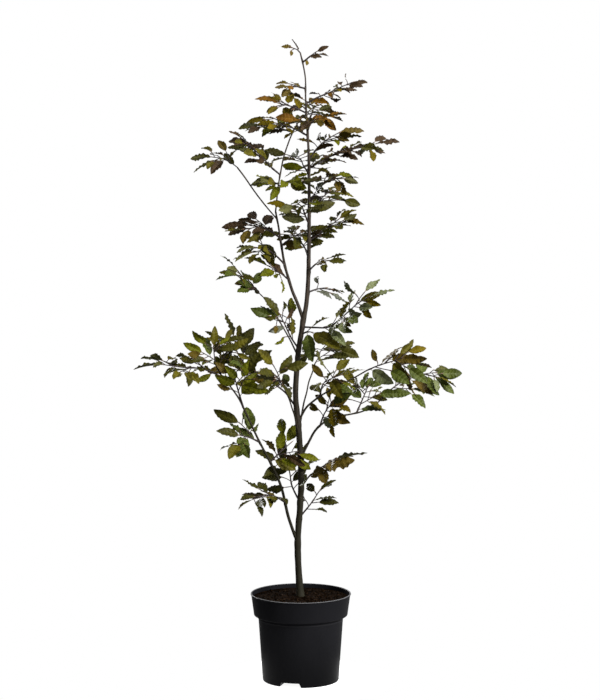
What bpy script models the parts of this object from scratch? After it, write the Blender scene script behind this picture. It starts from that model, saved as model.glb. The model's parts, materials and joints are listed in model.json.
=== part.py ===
# Young copper beech in a nursery pot.
# Metres, +Z up. The origin is the centre of the pot's flat underside, -Y is the front, +X is right.
# Headings are degrees seen from above: 0 right, 90 back, 180 left, 270 front.
# Rises are degrees above level.

import math
import random

import bmesh
import bpy
from mathutils import Matrix, Vector
from mathutils.bvhtree import BVHTree

# Driving dimensions of the pot
POT_HEIGHT = 0.230
RIM_RADIUS = 0.131
LIP_HEIGHT = 0.004
LIP_PROUD = 0.0018
BAND_FOOT_RADIUS = 0.1222
BAND_HEIGHT = 0.053
BODY_TOP_RADIUS = 0.1110
BODY_FOOT_RADIUS = 0.0995
FOOT_ROUNDING = 0.003
WALL = 0.0020
RING_DROP = 0.009
RING_PROUD = 0.0007
RING_HALF_WIDTH = 0.003
STEP_EASE = 0.002
LIP_ROUNDING = 0.0012
POT_SIDES = 32

# Drain arches in the pot's foot
ARCH_HEADINGS = (253.5, 73.5)
ARCH_WIDTH = 0.059
ARCH_LEAN = 0.0054
ARCH_HEIGHT = 0.012
ARCH_INNER_END = 0.050
DRAIN_HOLE_RADIUS = 0.006
DRAIN_HOLE_PLACES = (0.062, 0.080)

# Soil and the gap that touching pieces keep
SOIL_TOP = 0.2214
SOIL_DIP = 0.0025
SOIL_FLAT = 0.020
SOIL_SHOULDER = (0.72, 0.35)
SOIL_EDGE_GAP = 0.0025
SEAT = 0.0003

# Trunk: height above the ground, sideways and depth offset of its centreline
TRUNK_BENDS = (
    (0.2217, -0.0007, 0.000),
    (0.300, -0.0062, 0.003),
    (0.368, -0.0078, 0.004),
    (0.526, 0.0011, 0.001),
    (0.667, -0.0059, -0.005),
    (0.750, -0.0134, -0.004),
    (0.883, -0.0038, 0.003),
    (0.946, 0.0073, 0.005),
    (1.015, 0.0176, 0.004),
    (1.254, 0.0216, -0.004),
    (1.400, 0.0190, -0.006),
    (1.497, 0.0128, 0.000),
    (1.560, 0.0120, 0.004),
    (1.598, 0.0067, 0.004),
    (1.628, -0.0010, 0.001),
)
# Trunk: height above the ground and radius there
TRUNK_RADII = (
    (0.2217, 0.0103),
    (0.240, 0.0092),
    (0.270, 0.0087),
    (0.560, 0.0078),
    (0.880, 0.0067),
    (0.960, 0.0061),
    (1.130, 0.0050),
    (1.340, 0.0035),
    (1.520, 0.0022),
    (1.628, 0.0012),
)
TRUNK_RINGS = 24
TRUNK_SIDES = 10
BOUGH_SIDES = 6
BOUGH_STEP = 0.034
BOUGH_SWAY = 4.0
TIP_SHARE = 0.45

# Boughs: name, carrier, place on it, heading, rises from foot to tip, length, foot radius
# A place on the trunk is a height, a place on a bough is a share of its length, 1 is the tip.
BOUGHS = (
    ("bough_left_low", "trunk", 0.362, 200, (66, 80, 62, 62, 64, 48), 0.467, 0.0042),
    ("bough_left_high", "trunk", 0.850, 190, (64, 60, 54), 0.165, 0.0022),
    ("bough_fork", "trunk", 0.945, 165, (67, 69, 77, 84, 74), 0.277, 0.0046),
    ("bough_fork_up", "bough_fork", 1.0, 20, (84, 82, 72, 58), 0.240, 0.0021),
    ("bough_fork_left", "bough_fork", 0.93, 190, (50, 54, 54), 0.165, 0.0020),
    ("bough_right_low", "trunk", 0.583, 20, (64, 55, 24, 2, 21, 45), 0.276, 0.0034),
    ("bough_right_long", "trunk", 0.677, 345, (66, 39, 27, 28, 32), 0.222, 0.0031),
    ("bough_front", "trunk", 0.640, 255, (58, 44, 34), 0.190, 0.0026),
    ("bough_back", "trunk", 0.655, 75, (56, 42, 30), 0.220, 0.0027),
)

# Sprays of leaves: name, carrier, place on it, heading, rises from foot to tip, length,
# bare share of the stem, side twigs, their length, leaf length, turn from level to facing, seed
SPRAYS = (
    ("spray_tip", "trunk", 1.0, 175, (60, 15), 0.022, 0.3, 0, 0.0, 0.038, 25, 7),
    ("spray_top_right", "trunk", 1.604, 350, (36, 36), 0.045, 0.5, 0, 0.0, 0.036, 30, 19),
    ("spray_top_left", "trunk", 1.538, 195, (20, 5), 0.035, 0.3, 2, 0.030, 0.044, 30, 15),
    ("spray_crest_left", "trunk", 1.476, 188, (25, 8), 0.070, 0.2, 1, 0.040, 0.050, 45, 8),
    ("spray_crest_right", "trunk", 1.500, 10, (25, 23), 0.130, 0.1, 1, 0.030, 0.046, 15, 2),
    ("spray_crest_back", "trunk", 1.450, 75, (35, 12), 0.100, 0.2, 2, 0.050, 0.054, 50, 20),
    ("spray_shoulder_left", "trunk", 1.418, 178, (30, 8), 0.080, 0.1, 3, 0.045, 0.054, 20, 24),
    ("spray_shoulder_front", "trunk", 1.430, 290, (40, 12), 0.070, 0.1, 2, 0.045, 0.056, 20, 12),
    ("spray_upper_right", "trunk", 1.356, 25, (55, 38, 20), 0.105, 0.2, 1, 0.045, 0.058, 12, 6),
    ("spray_upper_right_long", "trunk", 1.335, 350, (31, 18, 10), 0.175, 0.1, 2, 0.055, 0.056, 10, 14),
    ("spray_upper_back", "trunk", 1.300, 105, (42, 14), 0.130, 0.1, 2, 0.060, 0.058, 12, 23),
    ("spray_middle_right", "trunk", 1.245, 335, (58, 40, -5), 0.105, 0.2, 1, 0.050, 0.056, 10, 24),
    ("spray_middle_back", "trunk", 1.215, 60, (40, 15), 0.120, 0.1, 2, 0.060, 0.058, 15, 18),
    ("spray_middle_front", "trunk", 1.190, 250, (48, 18), 0.100, 0.1, 2, 0.050, 0.056, 20, 13),
    ("spray_middle_low", "trunk", 1.150, 12, (28, 34, 40), 0.090, 0.3, 1, 0.045, 0.056, 8, 8),
    ("spray_inner_back", "trunk", 1.100, 110, (45, 20), 0.120, 0.2, 2, 0.060, 0.058, 15, 29),
    ("spray_inner_right", "trunk", 1.070, 350, (48, 20), 0.045, 0.3, 1, 0.035, 0.052, 20, 12),
    ("spray_inner_low", "trunk", 1.015, 20, (20, 2), 0.045, 0.3, 1, 0.035, 0.050, 25, 21),
    ("spray_fork_top", "bough_fork_up", 1.0, 350, (50, 36), 0.045, 0.1, 2, 0.040, 0.052, 15, 14),
    ("spray_fork_high", "bough_fork_up", 0.88, 187, (15, 10), 0.085, 0.1, 2, 0.045, 0.054, 12, 12),
    ("spray_fork_upper", "bough_fork_up", 0.40, 200, (35, 46, 44), 0.120, 0.2, 4, 0.045, 0.054, 14, 13),
    ("spray_fork_front", "bough_fork_up", 0.25, 300, (30, 10), 0.065, 0.1, 3, 0.050, 0.058, 15, 29),
    ("spray_fork_left", "bough_fork_left", 1.0, 185, (45, 20, 4), 0.070, 0.1, 2, 0.035, 0.054, 30, 6),
    ("spray_fork_middle", "bough_fork", 0.75, 182, (46, 20, 5), 0.085, 0.2, 2, 0.050, 0.060, 10, 29),
    ("spray_fork_low", "bough_fork", 0.50, 205, (50, 26, 4), 0.090, 0.2, 2, 0.050, 0.062, 12, 24),
    ("spray_fork_face", "bough_fork", 0.35, 230, (40, 10), 0.060, 0.1, 1, 0.045, 0.060, 40, 10),
    ("spray_fork_right", "bough_fork", 0.68, 20, (40, 15), 0.060, 0.1, 1, 0.040, 0.056, 15, 24),
    ("spray_left_high", "bough_left_high", 1.0, 190, (44, 46, 50), 0.100, 0.1, 2, 0.050, 0.054, 15, 10),
    ("spray_inner_left", "trunk", 0.868, 215, (56, 62, 66), 0.100, 0.3, 2, 0.045, 0.052, 55, 15),
    ("spray_left_mid", "trunk", 0.716, 163, (52, 40, 5, 54, 62, 88), 0.250, 0.35, 4, 0.058, 0.060, 40, 2),
    ("spray_left_end", "bough_left_low", 1.0, 194, (36, 6, 10), 0.168, 0.2, 3, 0.060, 0.056, 15, 30),
    ("spray_left_upright", "bough_left_low", 0.96, 185, (50, 75, 90), 0.095, 0.3, 3, 0.050, 0.054, 55, 28),
    ("spray_left_shoulder", "bough_left_low", 0.80, 215, (71, 73), 0.080, 0.2, 2, 0.050, 0.062, 60, 3),
    ("spray_left_flank", "bough_left_low", 0.58, 215, (30, 10), 0.060, 0.1, 2, 0.050, 0.066, 45, 16),
    ("spray_left_inner", "bough_left_low", 0.45, 20, (50, 35), 0.070, 0.1, 2, 0.050, 0.060, 55, 15),
    ("spray_left_low", "bough_left_low", 0.20, 225, (39, 20, 0, -10), 0.120, 0.2, 2, 0.045, 0.050, 20, 28),
    ("spray_low_left", "trunk", 0.470, 150, (50, 80, 60), 0.110, 0.4, 2, 0.045, 0.060, 50, 16),
    ("spray_low_right", "trunk", 0.507, 320, (52, 30, 31), 0.130, 0.3, 0, 0.0, 0.080, 10, 11),
    ("spray_low_foot", "trunk", 0.428, 20, (46, 51, 54), 0.075, 0.6, 0, 0.0, 0.056, 30, 11),
    ("spray_right_end", "bough_right_low", 1.0, 20, (44, 30, 12, 6), 0.165, 0.1, 3, 0.055, 0.066, 40, 1),
    ("spray_right_flank", "bough_right_low", 0.70, 60, (50, 36), 0.080, 0.1, 2, 0.050, 0.058, 50, 21),
    ("spray_right_under", "bough_right_low", 0.30, 310, (60, 45), 0.080, 0.2, 3, 0.050, 0.056, 50, 6),
    ("spray_right_long", "bough_right_long", 1.0, 345, (24, 18, 14), 0.100, 0.1, 3, 0.055, 0.066, 55, 19),
    ("spray_right_inner", "bough_right_long", 0.35, 290, (50, 30), 0.080, 0.1, 2, 0.050, 0.064, 50, 2),
    ("spray_right_high", "trunk", 0.926, 330, (2, 6, 45, 36, 33), 0.210, 0.35, 2, 0.055, 0.060, 35, 28),
    ("spray_right_drop", "trunk", 0.905, 320, (30, -10), 0.030, 0.5, 0, 0.0, 0.080, 70, 8),
    ("spray_front", "bough_front", 1.0, 255, (34, 20), 0.090, 0.1, 2, 0.060, 0.062, 50, 23),
    ("spray_back", "bough_back", 1.0, 75, (30, 16), 0.110, 0.1, 3, 0.060, 0.062, 45, 7),
)

# Twigs and leaves
STEM_RADIUS = 0.0018
TWIG_RADIUS = 0.0010
TWIG_END_RADIUS = 0.0008
END_LEAF_SUNK = 0.0025
TWIG_SIDES = 3
TWIG_STEP = 0.034
TWIG_SWAY = 7.0
FORK_ANGLE = 46.0
FORK_SPREAD = (0.70, 1.25)
TWIG_ROLL = 20.0
TWIG_FLATTENS = 0.7
TWIG_SIZES = (0.80, 1.20)
TWIG_AT_FOOT = 1.10
TWIG_LOST_BY_TIP = 0.40
BARE_TWIG = 0.35
TWIGS_END = 0.95
LEAF_SPACING = 0.034
LEAF_ANGLE = 48.0
LEAF_SPREAD = (0.75, 1.30)
END_LEAF_TURN = 14.0
LEAF_DROOP = 16.0
LEAF_JITTER = 22.0
LEAF_SIZES = (0.95, 1.28)
LEAF_HALF_WIDTH = 0.24
LEAF_ROOT = 0.0003
LEAF_THICK = 0.020
LEAF_FOLD = 0.085
LEAF_WAVE = 0.022
LEAF_ARCH = 0.10
LEAF_MIDDLE = 0.55
# Share of the leaf's length and of its greatest half width, from base to tip
LEAF_OUTLINE = ((0.40, 1.00), (0.74, 0.78))
# Clearance kept round a twig or leaf, past its first stretch
GUARD = 0.0012
LEAF_GUARD_FROM = 0.22
TWIG_GUARD_FROM = 0.15
TRIES = 5
# Heading a turned spray faces, and how far to either side of it
FRONT = 270.0
FRONT_SPREAD = 30.0
# Trunk sprays from this height up carry bronze leaves
BRONZE_FROM = 1.43
FLAT_ANGLE = 0.002
SMOOTH_ANGLE = 35.0


def direction(heading, rise):
    across = math.cos(math.radians(rise))
    angle = math.radians(heading)
    return Vector((math.cos(angle) * across, math.sin(angle) * across, math.sin(math.radians(rise))))


def along(values, share):
    """The value at a share of the way along an evenly spaced row of values."""
    place = min(max(share, 0.0), 1.0) * (len(values) - 1)
    first = min(int(place), len(values) - 2)
    return values[first] + (values[first + 1] - values[first]) * (place - first)


def smooth_row(rows, key):
    """Smooth reading of a table of rows (key, value, ...), by a cubic through its points."""
    last = len(rows) - 1
    i = 0
    while i < last - 1 and key > rows[i + 1][0]:
        i += 1
    before, start, end, after = rows[max(i - 1, 0)], rows[i], rows[i + 1], rows[min(i + 2, last)]
    t = (key - start[0]) / (end[0] - start[0])
    values = []
    for k in range(1, len(start)):
        slope_start = (end[k] - before[k]) / (end[0] - before[0])
        slope_end = (after[k] - start[k]) / (after[0] - start[0])
        width = end[0] - start[0]
        values.append(
            (2 * t**3 - 3 * t**2 + 1) * start[k]
            + (t**3 - 2 * t**2 + t) * width * slope_start
            + (3 * t**2 - 2 * t**3) * end[k]
            + (t**3 - t**2) * width * slope_end
        )
    return values


class Limb:
    """The centreline of a trunk, bough or twig, with its radius at each point."""

    def __init__(self, points, radii, sides, seat=None):
        self.points = points
        self.radii = radii
        self.sides = sides
        self.seat = seat

    def length(self):
        return sum((b - a).length for a, b in zip(self.points, self.points[1:]))

    def at(self, share):
        """Point, direction and radius at a share of the length."""
        goal = self.length() * share
        for i, (a, b) in enumerate(zip(self.points, self.points[1:])):
            step = (b - a).length
            if goal <= step or i == len(self.points) - 2:
                t = min(goal / step, 1.0)
                radius = self.radii[i] + (self.radii[i + 1] - self.radii[i]) * t
                return a.lerp(b, t), (b - a).normalized(), radius
            goal -= step

    def share_at_height(self, height):
        low, high = 0.0, 1.0
        for _ in range(30):
            middle = (low + high) / 2
            if self.at(middle)[0].z < height:
                low = middle
            else:
                high = middle
        return low


def walk(start, heading, rises, length, step, sway, rng):
    """Points of a limb that keeps its heading, follows its rises and sways a little."""
    count = max(2, round(length / step))
    points = [start]
    for i in range(count):
        side = sway if i % 2 else -sway
        bend = direction(
            heading + side * rng.uniform(0.3, 1.0),
            along(rises, (i + 0.5) / count) + rng.uniform(-sway, sway) * 0.5,
        )
        points.append(points[-1] + bend * (length / count))
    return points


def tube(limb):
    """Closed tapering tube round a limb, its foot cut parallel to what carries it."""
    verts, faces = [], []
    across = None
    count = len(limb.points)
    sides = limb.sides
    for i, (point, radius) in enumerate(zip(limb.points, limb.radii)):
        ahead = limb.points[min(i + 1, count - 1)] - limb.points[max(i - 1, 0)]
        ahead.normalize()
        if across is None:
            across = ahead.orthogonal()
        across = (across - ahead * across.dot(ahead)).normalized()
        beside = ahead.cross(across)
        for k in range(sides):
            angle = 2 * math.pi * k / sides
            ring = point + (across * math.cos(angle) + beside * math.sin(angle)) * radius
            if i == 0 and limb.seat:
                foot = (limb.points[1] - limb.points[0]).normalized()
                place, facing = limb.seat
                ring += foot * ((place - ring).dot(facing) / foot.dot(facing))
            verts.append(ring)
    for i in range(count - 1):
        for k in range(sides):
            low, high = i * sides, (i + 1) * sides
            nxt = (k + 1) % sides
            faces.append((low + k, low + nxt, high + nxt))
            faces.append((low + k, high + nxt, high + k))
    faces.append(tuple(reversed(range(sides))))
    faces.append(tuple(range((count - 1) * sides, count * sides)))
    return verts, faces


def seat_on(carrier, share, first_direction):
    """Start point and seat plane of a limb that leaves a carrier's flank or its tip."""
    point, ahead, radius = carrier.at(share)
    if share >= 1.0:
        place = point + ahead * SEAT
        return place, (place, ahead)
    outward = (first_direction - ahead * first_direction.dot(ahead)).normalized()
    flank = BVHTree.FromPolygons(*tube(carrier))
    place, facing, _, _ = flank.ray_cast(point + outward * radius * 2, -outward)
    reach = ((place - point).dot(facing) + SEAT) / first_direction.dot(facing)
    start = point + first_direction * reach
    return start, (start, facing)


def grow_limb(carrier, share, heading, rises, length, radii, sides, step, sway, rng):
    """A limb on a carrier: it starts at its seat and tapers between two radii."""
    start, seat = seat_on(carrier, share, direction(heading, rises[0]))
    points = walk(start, heading, rises, length, step, sway, rng)
    count = len(points) - 1
    shrink = [along(radii, i / count) for i in range(count + 1)]
    return Limb(points, shrink, sides, seat)


def leaf_frame(root, axis, facing):
    """Axes of a leaf: along it, across it and out of its upper face."""
    side = facing.cross(axis).normalized()
    return Matrix((axis, side, axis.cross(side))).transposed().to_4x4(), root


def leaf_solid(frame, length, grow=0.0):
    """Closed folded and waved leaf, thickest on its midrib, with its root sunk in the twig."""
    turn, root = frame
    half = length * LEAF_HALF_WIDTH + grow
    thick = length * LEAF_THICK / 2 + grow
    start = length * LEAF_GUARD_FROM if grow else 0.0
    width = LEAF_ROOT + grow
    local = [(start, 0, width), (start, width, -width), (start, -width, -width)]
    for sign in (1, -1):
        for i, (share, wide) in enumerate(LEAF_OUTLINE):
            wave = LEAF_WAVE * length * (1 if (i % 2 == 0) == (sign > 0) else -1)
            lift = LEAF_FOLD * length * wide - LEAF_ARCH * length * share**2 + wave
            local.append((length * share, sign * half * wide, lift))
    local.append((length + grow, 0, -LEAF_ARCH * length))
    middle = -LEAF_ARCH * length * LEAF_MIDDLE**2
    local.append((length * LEAF_MIDDLE, 0, middle + thick))
    local.append((length * LEAF_MIDDLE, 0, middle - thick))
    top, left_root, right_root, tip, above, below = 0, 1, 2, 7, 8, 9
    left, right = (3, 4), (5, 6)
    faces = [(top, left_root, right_root)]
    faces += [(top, left[0], left_root), (top, above, left[0]), (left_root, left[0], below)]
    faces += [(top, right_root, right[0]), (top, right[0], above), (right_root, below, right[0])]
    faces += [(left_root, below, right_root)]
    for a, b in ((left[0], left[1]), (left[1], tip)):
        faces += [(above, b, a), (below, a, b)]
    for a, b in ((right[0], right[1]), (right[1], tip)):
        faces += [(above, a, b), (below, b, a)]
    verts = [root + turn @ Vector(p) for p in local]
    return verts, faces


class Space:
    """What already stands: a new twig or leaf keeps clear of all of it."""

    def __init__(self):
        self.taken = []

    def add(self, solid, owner):
        verts, faces = solid
        low = [min(v[k] for v in verts) for k in range(3)]
        high = [max(v[k] for v in verts) for k in range(3)]
        self.taken.append((low, high, BVHTree.FromPolygons(verts, faces), owner))

    def clear(self, solid, parents):
        verts, faces = solid
        low = [min(v[k] for v in verts) for k in range(3)]
        high = [max(v[k] for v in verts) for k in range(3)]
        tree = None
        for other_low, other_high, other, owner in self.taken:
            if any(owner is parent for parent in parents):
                continue
            if any(low[k] > other_high[k] or high[k] < other_low[k] for k in range(3)):
                continue
            tree = tree or BVHTree.FromPolygons(verts, faces)
            if tree.overlap(other):
                return False
        return True


def grown(limb, extra, skip):
    """The same limb a little fatter, without its first stretch, to test clearance with."""
    head = limb.points[0].lerp(limb.points[1], skip)
    return Limb([head] + limb.points[1:], [r + extra for r in limb.radii], limb.sides)


def plane_normal(axis, turn, gaze):
    """Normal of a spray: up when level, towards the gaze heading when it is turned."""
    up = Vector((0, 0, 1))
    face = direction(gaze, 0)
    blend = up * math.cos(math.radians(turn)) + face * math.sin(math.radians(turn))
    return (blend - axis * blend.dot(axis)).normalized()


def turned(vector, about, degrees):
    return Matrix.Rotation(math.radians(degrees), 3, about) @ vector


def grow_leaves(twig, normal, leaf_length, bare, space, owner, rng):
    """Leaves in two rows along a twig and one at its end, each with its root in the twig."""
    leaves = []
    reach = twig.length()
    first = reach * bare
    count = max(1, round((reach - first) / LEAF_SPACING))
    for i in range(count + 1):
        point, ahead, _ = twig.at((first + (reach - END_LEAF_SUNK - first) * i / count) / reach)
        last = i == count
        side = 1 if i % 2 else -1
        size = leaf_length * rng.uniform(*LEAF_SIZES)
        for _ in range(TRIES):
            angle = side * LEAF_ANGLE * rng.uniform(*LEAF_SPREAD)
            if last:
                angle = rng.uniform(-END_LEAF_TURN, END_LEAF_TURN)
            axis = turned(ahead, normal, angle)
            axis.z -= math.sin(math.radians(rng.uniform(0.0, LEAF_DROOP)))
            axis.normalize()
            facing = turned(normal, axis, rng.gauss(0, LEAF_JITTER))
            facing = (facing - axis * facing.dot(axis)).normalized()
            frame = leaf_frame(point, axis, facing)
            solid = leaf_solid(frame, size)
            guard = leaf_solid(frame, size, GUARD)
            if space.clear(solid, (twig,)) and space.clear(guard, (twig,)):
                space.add(solid, owner)
                leaves.append(solid)
                break
    return leaves


def grow_twig(start, axis, length, rng):
    """A side twig that sets out along an axis and flattens a little towards its end."""
    heading = math.degrees(math.atan2(axis.y, axis.x))
    rise = math.degrees(math.asin(max(-1.0, min(1.0, axis.z))))
    rises = (rise, rise * TWIG_FLATTENS)
    points = walk(start, heading, rises, length, TWIG_STEP, TWIG_SWAY, rng)
    count = len(points) - 1
    radii = [along((TWIG_RADIUS, TWIG_END_RADIUS), i / count) for i in range(count + 1)]
    return Limb(points, radii, TWIG_SIDES)


def grow_spray(row, carriers, space):
    """Stem, side twigs and leaves of one spray as closed solids; the stem comes first."""
    name, carrier, place, heading, rises, length, bare, twig_count, twig_length, leaf, turn, seed = row
    rng = random.Random(seed)
    base = carriers[carrier]
    on_tip = place == 1.0
    share = place if on_tip or carrier != "trunk" else base.share_at_height(place)
    radii = (base.radii[-1] if on_tip else STEM_RADIUS, TWIG_END_RADIUS)
    for _ in range(TRIES):
        stem = grow_limb(
            base, share, heading, rises, length, radii, TWIG_SIDES, TWIG_STEP, TWIG_SWAY, rng
        )
        if space.clear(tube(stem), ()):
            break
    space.add(tube(stem), stem)
    shoots = [stem]
    gaze = FRONT + rng.uniform(-FRONT_SPREAD, FRONT_SPREAD)
    for k in range(twig_count):
        part = bare + (TWIGS_END - bare) * (k + 0.5) / twig_count
        point, ahead, _ = stem.at(part)
        normal = plane_normal(ahead, turn, gaze)
        side = 1 if k % 2 else -1
        for _ in range(TRIES):
            axis = turned(ahead, normal, side * FORK_ANGLE * rng.uniform(*FORK_SPREAD))
            axis = turned(axis, ahead, rng.uniform(-TWIG_ROLL, TWIG_ROLL))
            size = twig_length * (TWIG_AT_FOOT - TWIG_LOST_BY_TIP * part) * rng.uniform(*TWIG_SIZES)
            twig = grow_twig(point, axis, size, rng)
            solid = tube(twig)
            guard = tube(grown(twig, GUARD, TWIG_GUARD_FROM))
            if space.clear(solid, (stem,)) and space.clear(guard, (stem,)):
                space.add(solid, twig)
                shoots.append(twig)
                break
    solids = [tube(shoot) for shoot in shoots]
    for shoot in shoots:
        _, ahead, _ = shoot.at(0.5)
        normal = plane_normal(ahead, turn, gaze)
        free = bare if shoot is stem else BARE_TWIG
        solids += grow_leaves(shoot, normal, leaf, free, space, name, rng)
    return solids


def material(name, colour, roughness):
    finish = bpy.data.materials.new(name)
    finish.use_nodes = True
    shader = finish.node_tree.nodes["Principled BSDF"]
    shader.inputs["Base Color"].default_value = (*colour, 1)
    shader.inputs["Roughness"].default_value = roughness
    shader.inputs["Metallic"].default_value = 0.0
    return finish


def mesh_object(name, solid, finish, collection):
    """An object with its origin at its first point."""
    verts, faces = solid
    origin = Vector(verts[0])
    mesh = bpy.data.meshes.new(name)
    mesh.from_pydata([Vector(v) - origin for v in verts], [], faces)
    mesh.materials.append(finish)
    piece = bpy.data.objects.new(name, mesh)
    piece.location = origin
    collection.objects.link(piece)
    return piece


def smooth(piece):
    piece.data.shade_smooth()
    piece.data.set_sharp_from_angle(angle=math.radians(SMOOTH_ANGLE))


def apply_modifiers(piece):
    bpy.context.view_layer.update()
    graph = bpy.context.evaluated_depsgraph_get()
    mesh = bpy.data.meshes.new_from_object(piece.evaluated_get(graph))
    piece.modifiers.clear()
    old = piece.data
    piece.data = mesh
    bpy.data.meshes.remove(old)


def keep_largest_body(mesh):
    """Drops loose scraps and sealed hollows that joining the solids can leave."""
    work = bmesh.new()
    work.from_mesh(mesh)
    left = set(work.verts)
    bodies = []
    while left:
        seed = left.pop()
        body, edge = {seed}, [seed]
        while edge:
            for link in edge.pop().link_edges:
                for vert in link.verts:
                    if vert in left:
                        left.discard(vert)
                        body.add(vert)
                        edge.append(vert)
        bodies.append(body)
    bodies.sort(key=len)
    for body in bodies[:-1]:
        bmesh.ops.delete(work, geom=list(body), context="VERTS")
    bmesh.ops.dissolve_limit(
        work, angle_limit=FLAT_ANGLE, use_dissolve_boundaries=False, verts=work.verts, edges=work.edges
    )
    work.to_mesh(mesh)
    work.free()


def join_solids(name, solids, finish):
    """One closed body from a spray's stem, twigs and leaves."""
    piece = mesh_object(name, solids[0], finish, bpy.context.scene.collection)
    extras = bpy.data.collections.new(name + "_extras")
    bpy.context.scene.collection.children.link(extras)
    for i, solid in enumerate(solids[1:]):
        mesh_object(f"{name}_{i}", solid, finish, extras)
    union = piece.modifiers.new("Join", "BOOLEAN")
    union.operation = "UNION"
    union.operand_type = "COLLECTION"
    union.collection = extras
    union.solver = "EXACT"
    apply_modifiers(piece)
    for extra in list(extras.objects):
        bpy.data.objects.remove(extra)
    bpy.data.collections.remove(extras)
    keep_largest_body(piece.data)
    return piece


def turned_solid(name, profile, sides, finish):
    """A closed solid turned round Z from a profile that starts and ends on the axis."""
    verts, faces, rings = [], [], []
    for radius, height in profile:
        if radius == 0:
            rings.append([len(verts)])
            verts.append(Vector((0, 0, height)))
            continue
        rings.append(list(range(len(verts), len(verts) + sides)))
        for k in range(sides):
            angle = 2 * math.pi * k / sides
            verts.append(Vector((radius * math.cos(angle), radius * math.sin(angle), height)))
    for low, high in zip(rings, rings[1:]):
        for k in range(sides):
            nxt = (k + 1) % sides
            if len(low) == 1:
                faces.append((low[0], high[nxt], high[k]))
            elif len(high) == 1:
                faces.append((low[k], low[nxt], high[0]))
            else:
                faces.append((low[k], low[nxt], high[nxt], high[k]))
    piece = mesh_object(name, (verts, faces), finish, bpy.context.scene.collection)
    piece.data.transform(Matrix.Translation(piece.location))
    piece.location = (0, 0, 0)
    return piece


def arch_bar(name, heading, grow, inner, outer, bottom):
    """Bar with leaning sides that runs outward along a heading, for a drain arch."""
    top = ARCH_HEIGHT + grow
    low_half = ARCH_WIDTH / 2 + grow - ARCH_LEAN * bottom / ARCH_HEIGHT
    top_half = ARCH_WIDTH / 2 + grow - ARCH_LEAN * top / ARCH_HEIGHT
    section = ((-low_half, bottom), (low_half, bottom), (top_half, top), (-top_half, top))
    verts = [Vector((x, y, z)) for x in (inner, outer) for y, z in section]
    faces = [(3, 2, 1, 0), (4, 5, 6, 7)]
    faces += [(k, (k + 1) % 4, (k + 1) % 4 + 4, k + 4) for k in range(4)]
    turn = Matrix.Rotation(math.radians(heading), 3, "Z")
    mesh = bpy.data.meshes.new(name)
    mesh.from_pydata([turn @ v for v in verts], [], faces)
    bar = bpy.data.objects.new(name, mesh)
    bpy.context.scene.collection.objects.link(bar)
    bar.hide_render = True
    bar.display_type = "WIRE"
    return bar


def cut(piece, tool, operation):
    change = piece.modifiers.new(operation.title(), "BOOLEAN")
    change.operation = operation
    change.object = tool
    change.solver = "EXACT"
    apply_modifiers(piece)
    bpy.data.objects.remove(tool)


def body_radius(height):
    """Outer radius of the pot's body below its band."""
    step = POT_HEIGHT - LIP_HEIGHT - BAND_HEIGHT
    return BODY_FOOT_RADIUS + (BODY_TOP_RADIUS - BODY_FOOT_RADIUS) * height / step


def pot_outside():
    """Profile of the pot's outside from the middle of its underside to the lip."""
    step = POT_HEIGHT - LIP_HEIGHT - BAND_HEIGHT
    profile = [(0, 0), (ARCH_INNER_END, 0)]
    for k in range(4):
        angle = math.radians(30 * k)
        profile.append((
            BODY_FOOT_RADIUS - FOOT_ROUNDING * (1 - math.sin(angle)),
            FOOT_ROUNDING * (1 - math.cos(angle)),
        ))
    ring = step - RING_DROP
    profile += [
        (body_radius(ring - RING_HALF_WIDTH), ring - RING_HALF_WIDTH),
        (body_radius(ring) + RING_PROUD, ring),
        (body_radius(ring + RING_HALF_WIDTH), ring + RING_HALF_WIDTH),
        (BODY_TOP_RADIUS, step - STEP_EASE),
        (BAND_FOOT_RADIUS - STEP_EASE, step),
        (BAND_FOOT_RADIUS, step + STEP_EASE),
        (RIM_RADIUS - LIP_PROUD, POT_HEIGHT - LIP_HEIGHT),
        (RIM_RADIUS, POT_HEIGHT - LIP_HEIGHT + LIP_ROUNDING),
        (RIM_RADIUS, POT_HEIGHT - LIP_ROUNDING),
        (RIM_RADIUS - LIP_ROUNDING, POT_HEIGHT),
    ]
    return profile


def pot_inside():
    """Profile of the pot's inside from its lip down to the middle of its floor."""
    step = POT_HEIGHT - LIP_HEIGHT - BAND_HEIGHT
    return [
        (RIM_RADIUS - LIP_PROUD - WALL, POT_HEIGHT),
        (RIM_RADIUS - LIP_PROUD - WALL - LIP_ROUNDING / 2, POT_HEIGHT - LIP_HEIGHT),
        (BAND_FOOT_RADIUS - WALL, step + 2 * STEP_EASE),
        (BODY_TOP_RADIUS - WALL, step - STEP_EASE / 2),
        (BODY_FOOT_RADIUS - WALL, FOOT_ROUNDING),
        (BODY_FOOT_RADIUS - 2 * WALL, WALL),
        (0, WALL),
    ]


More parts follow.
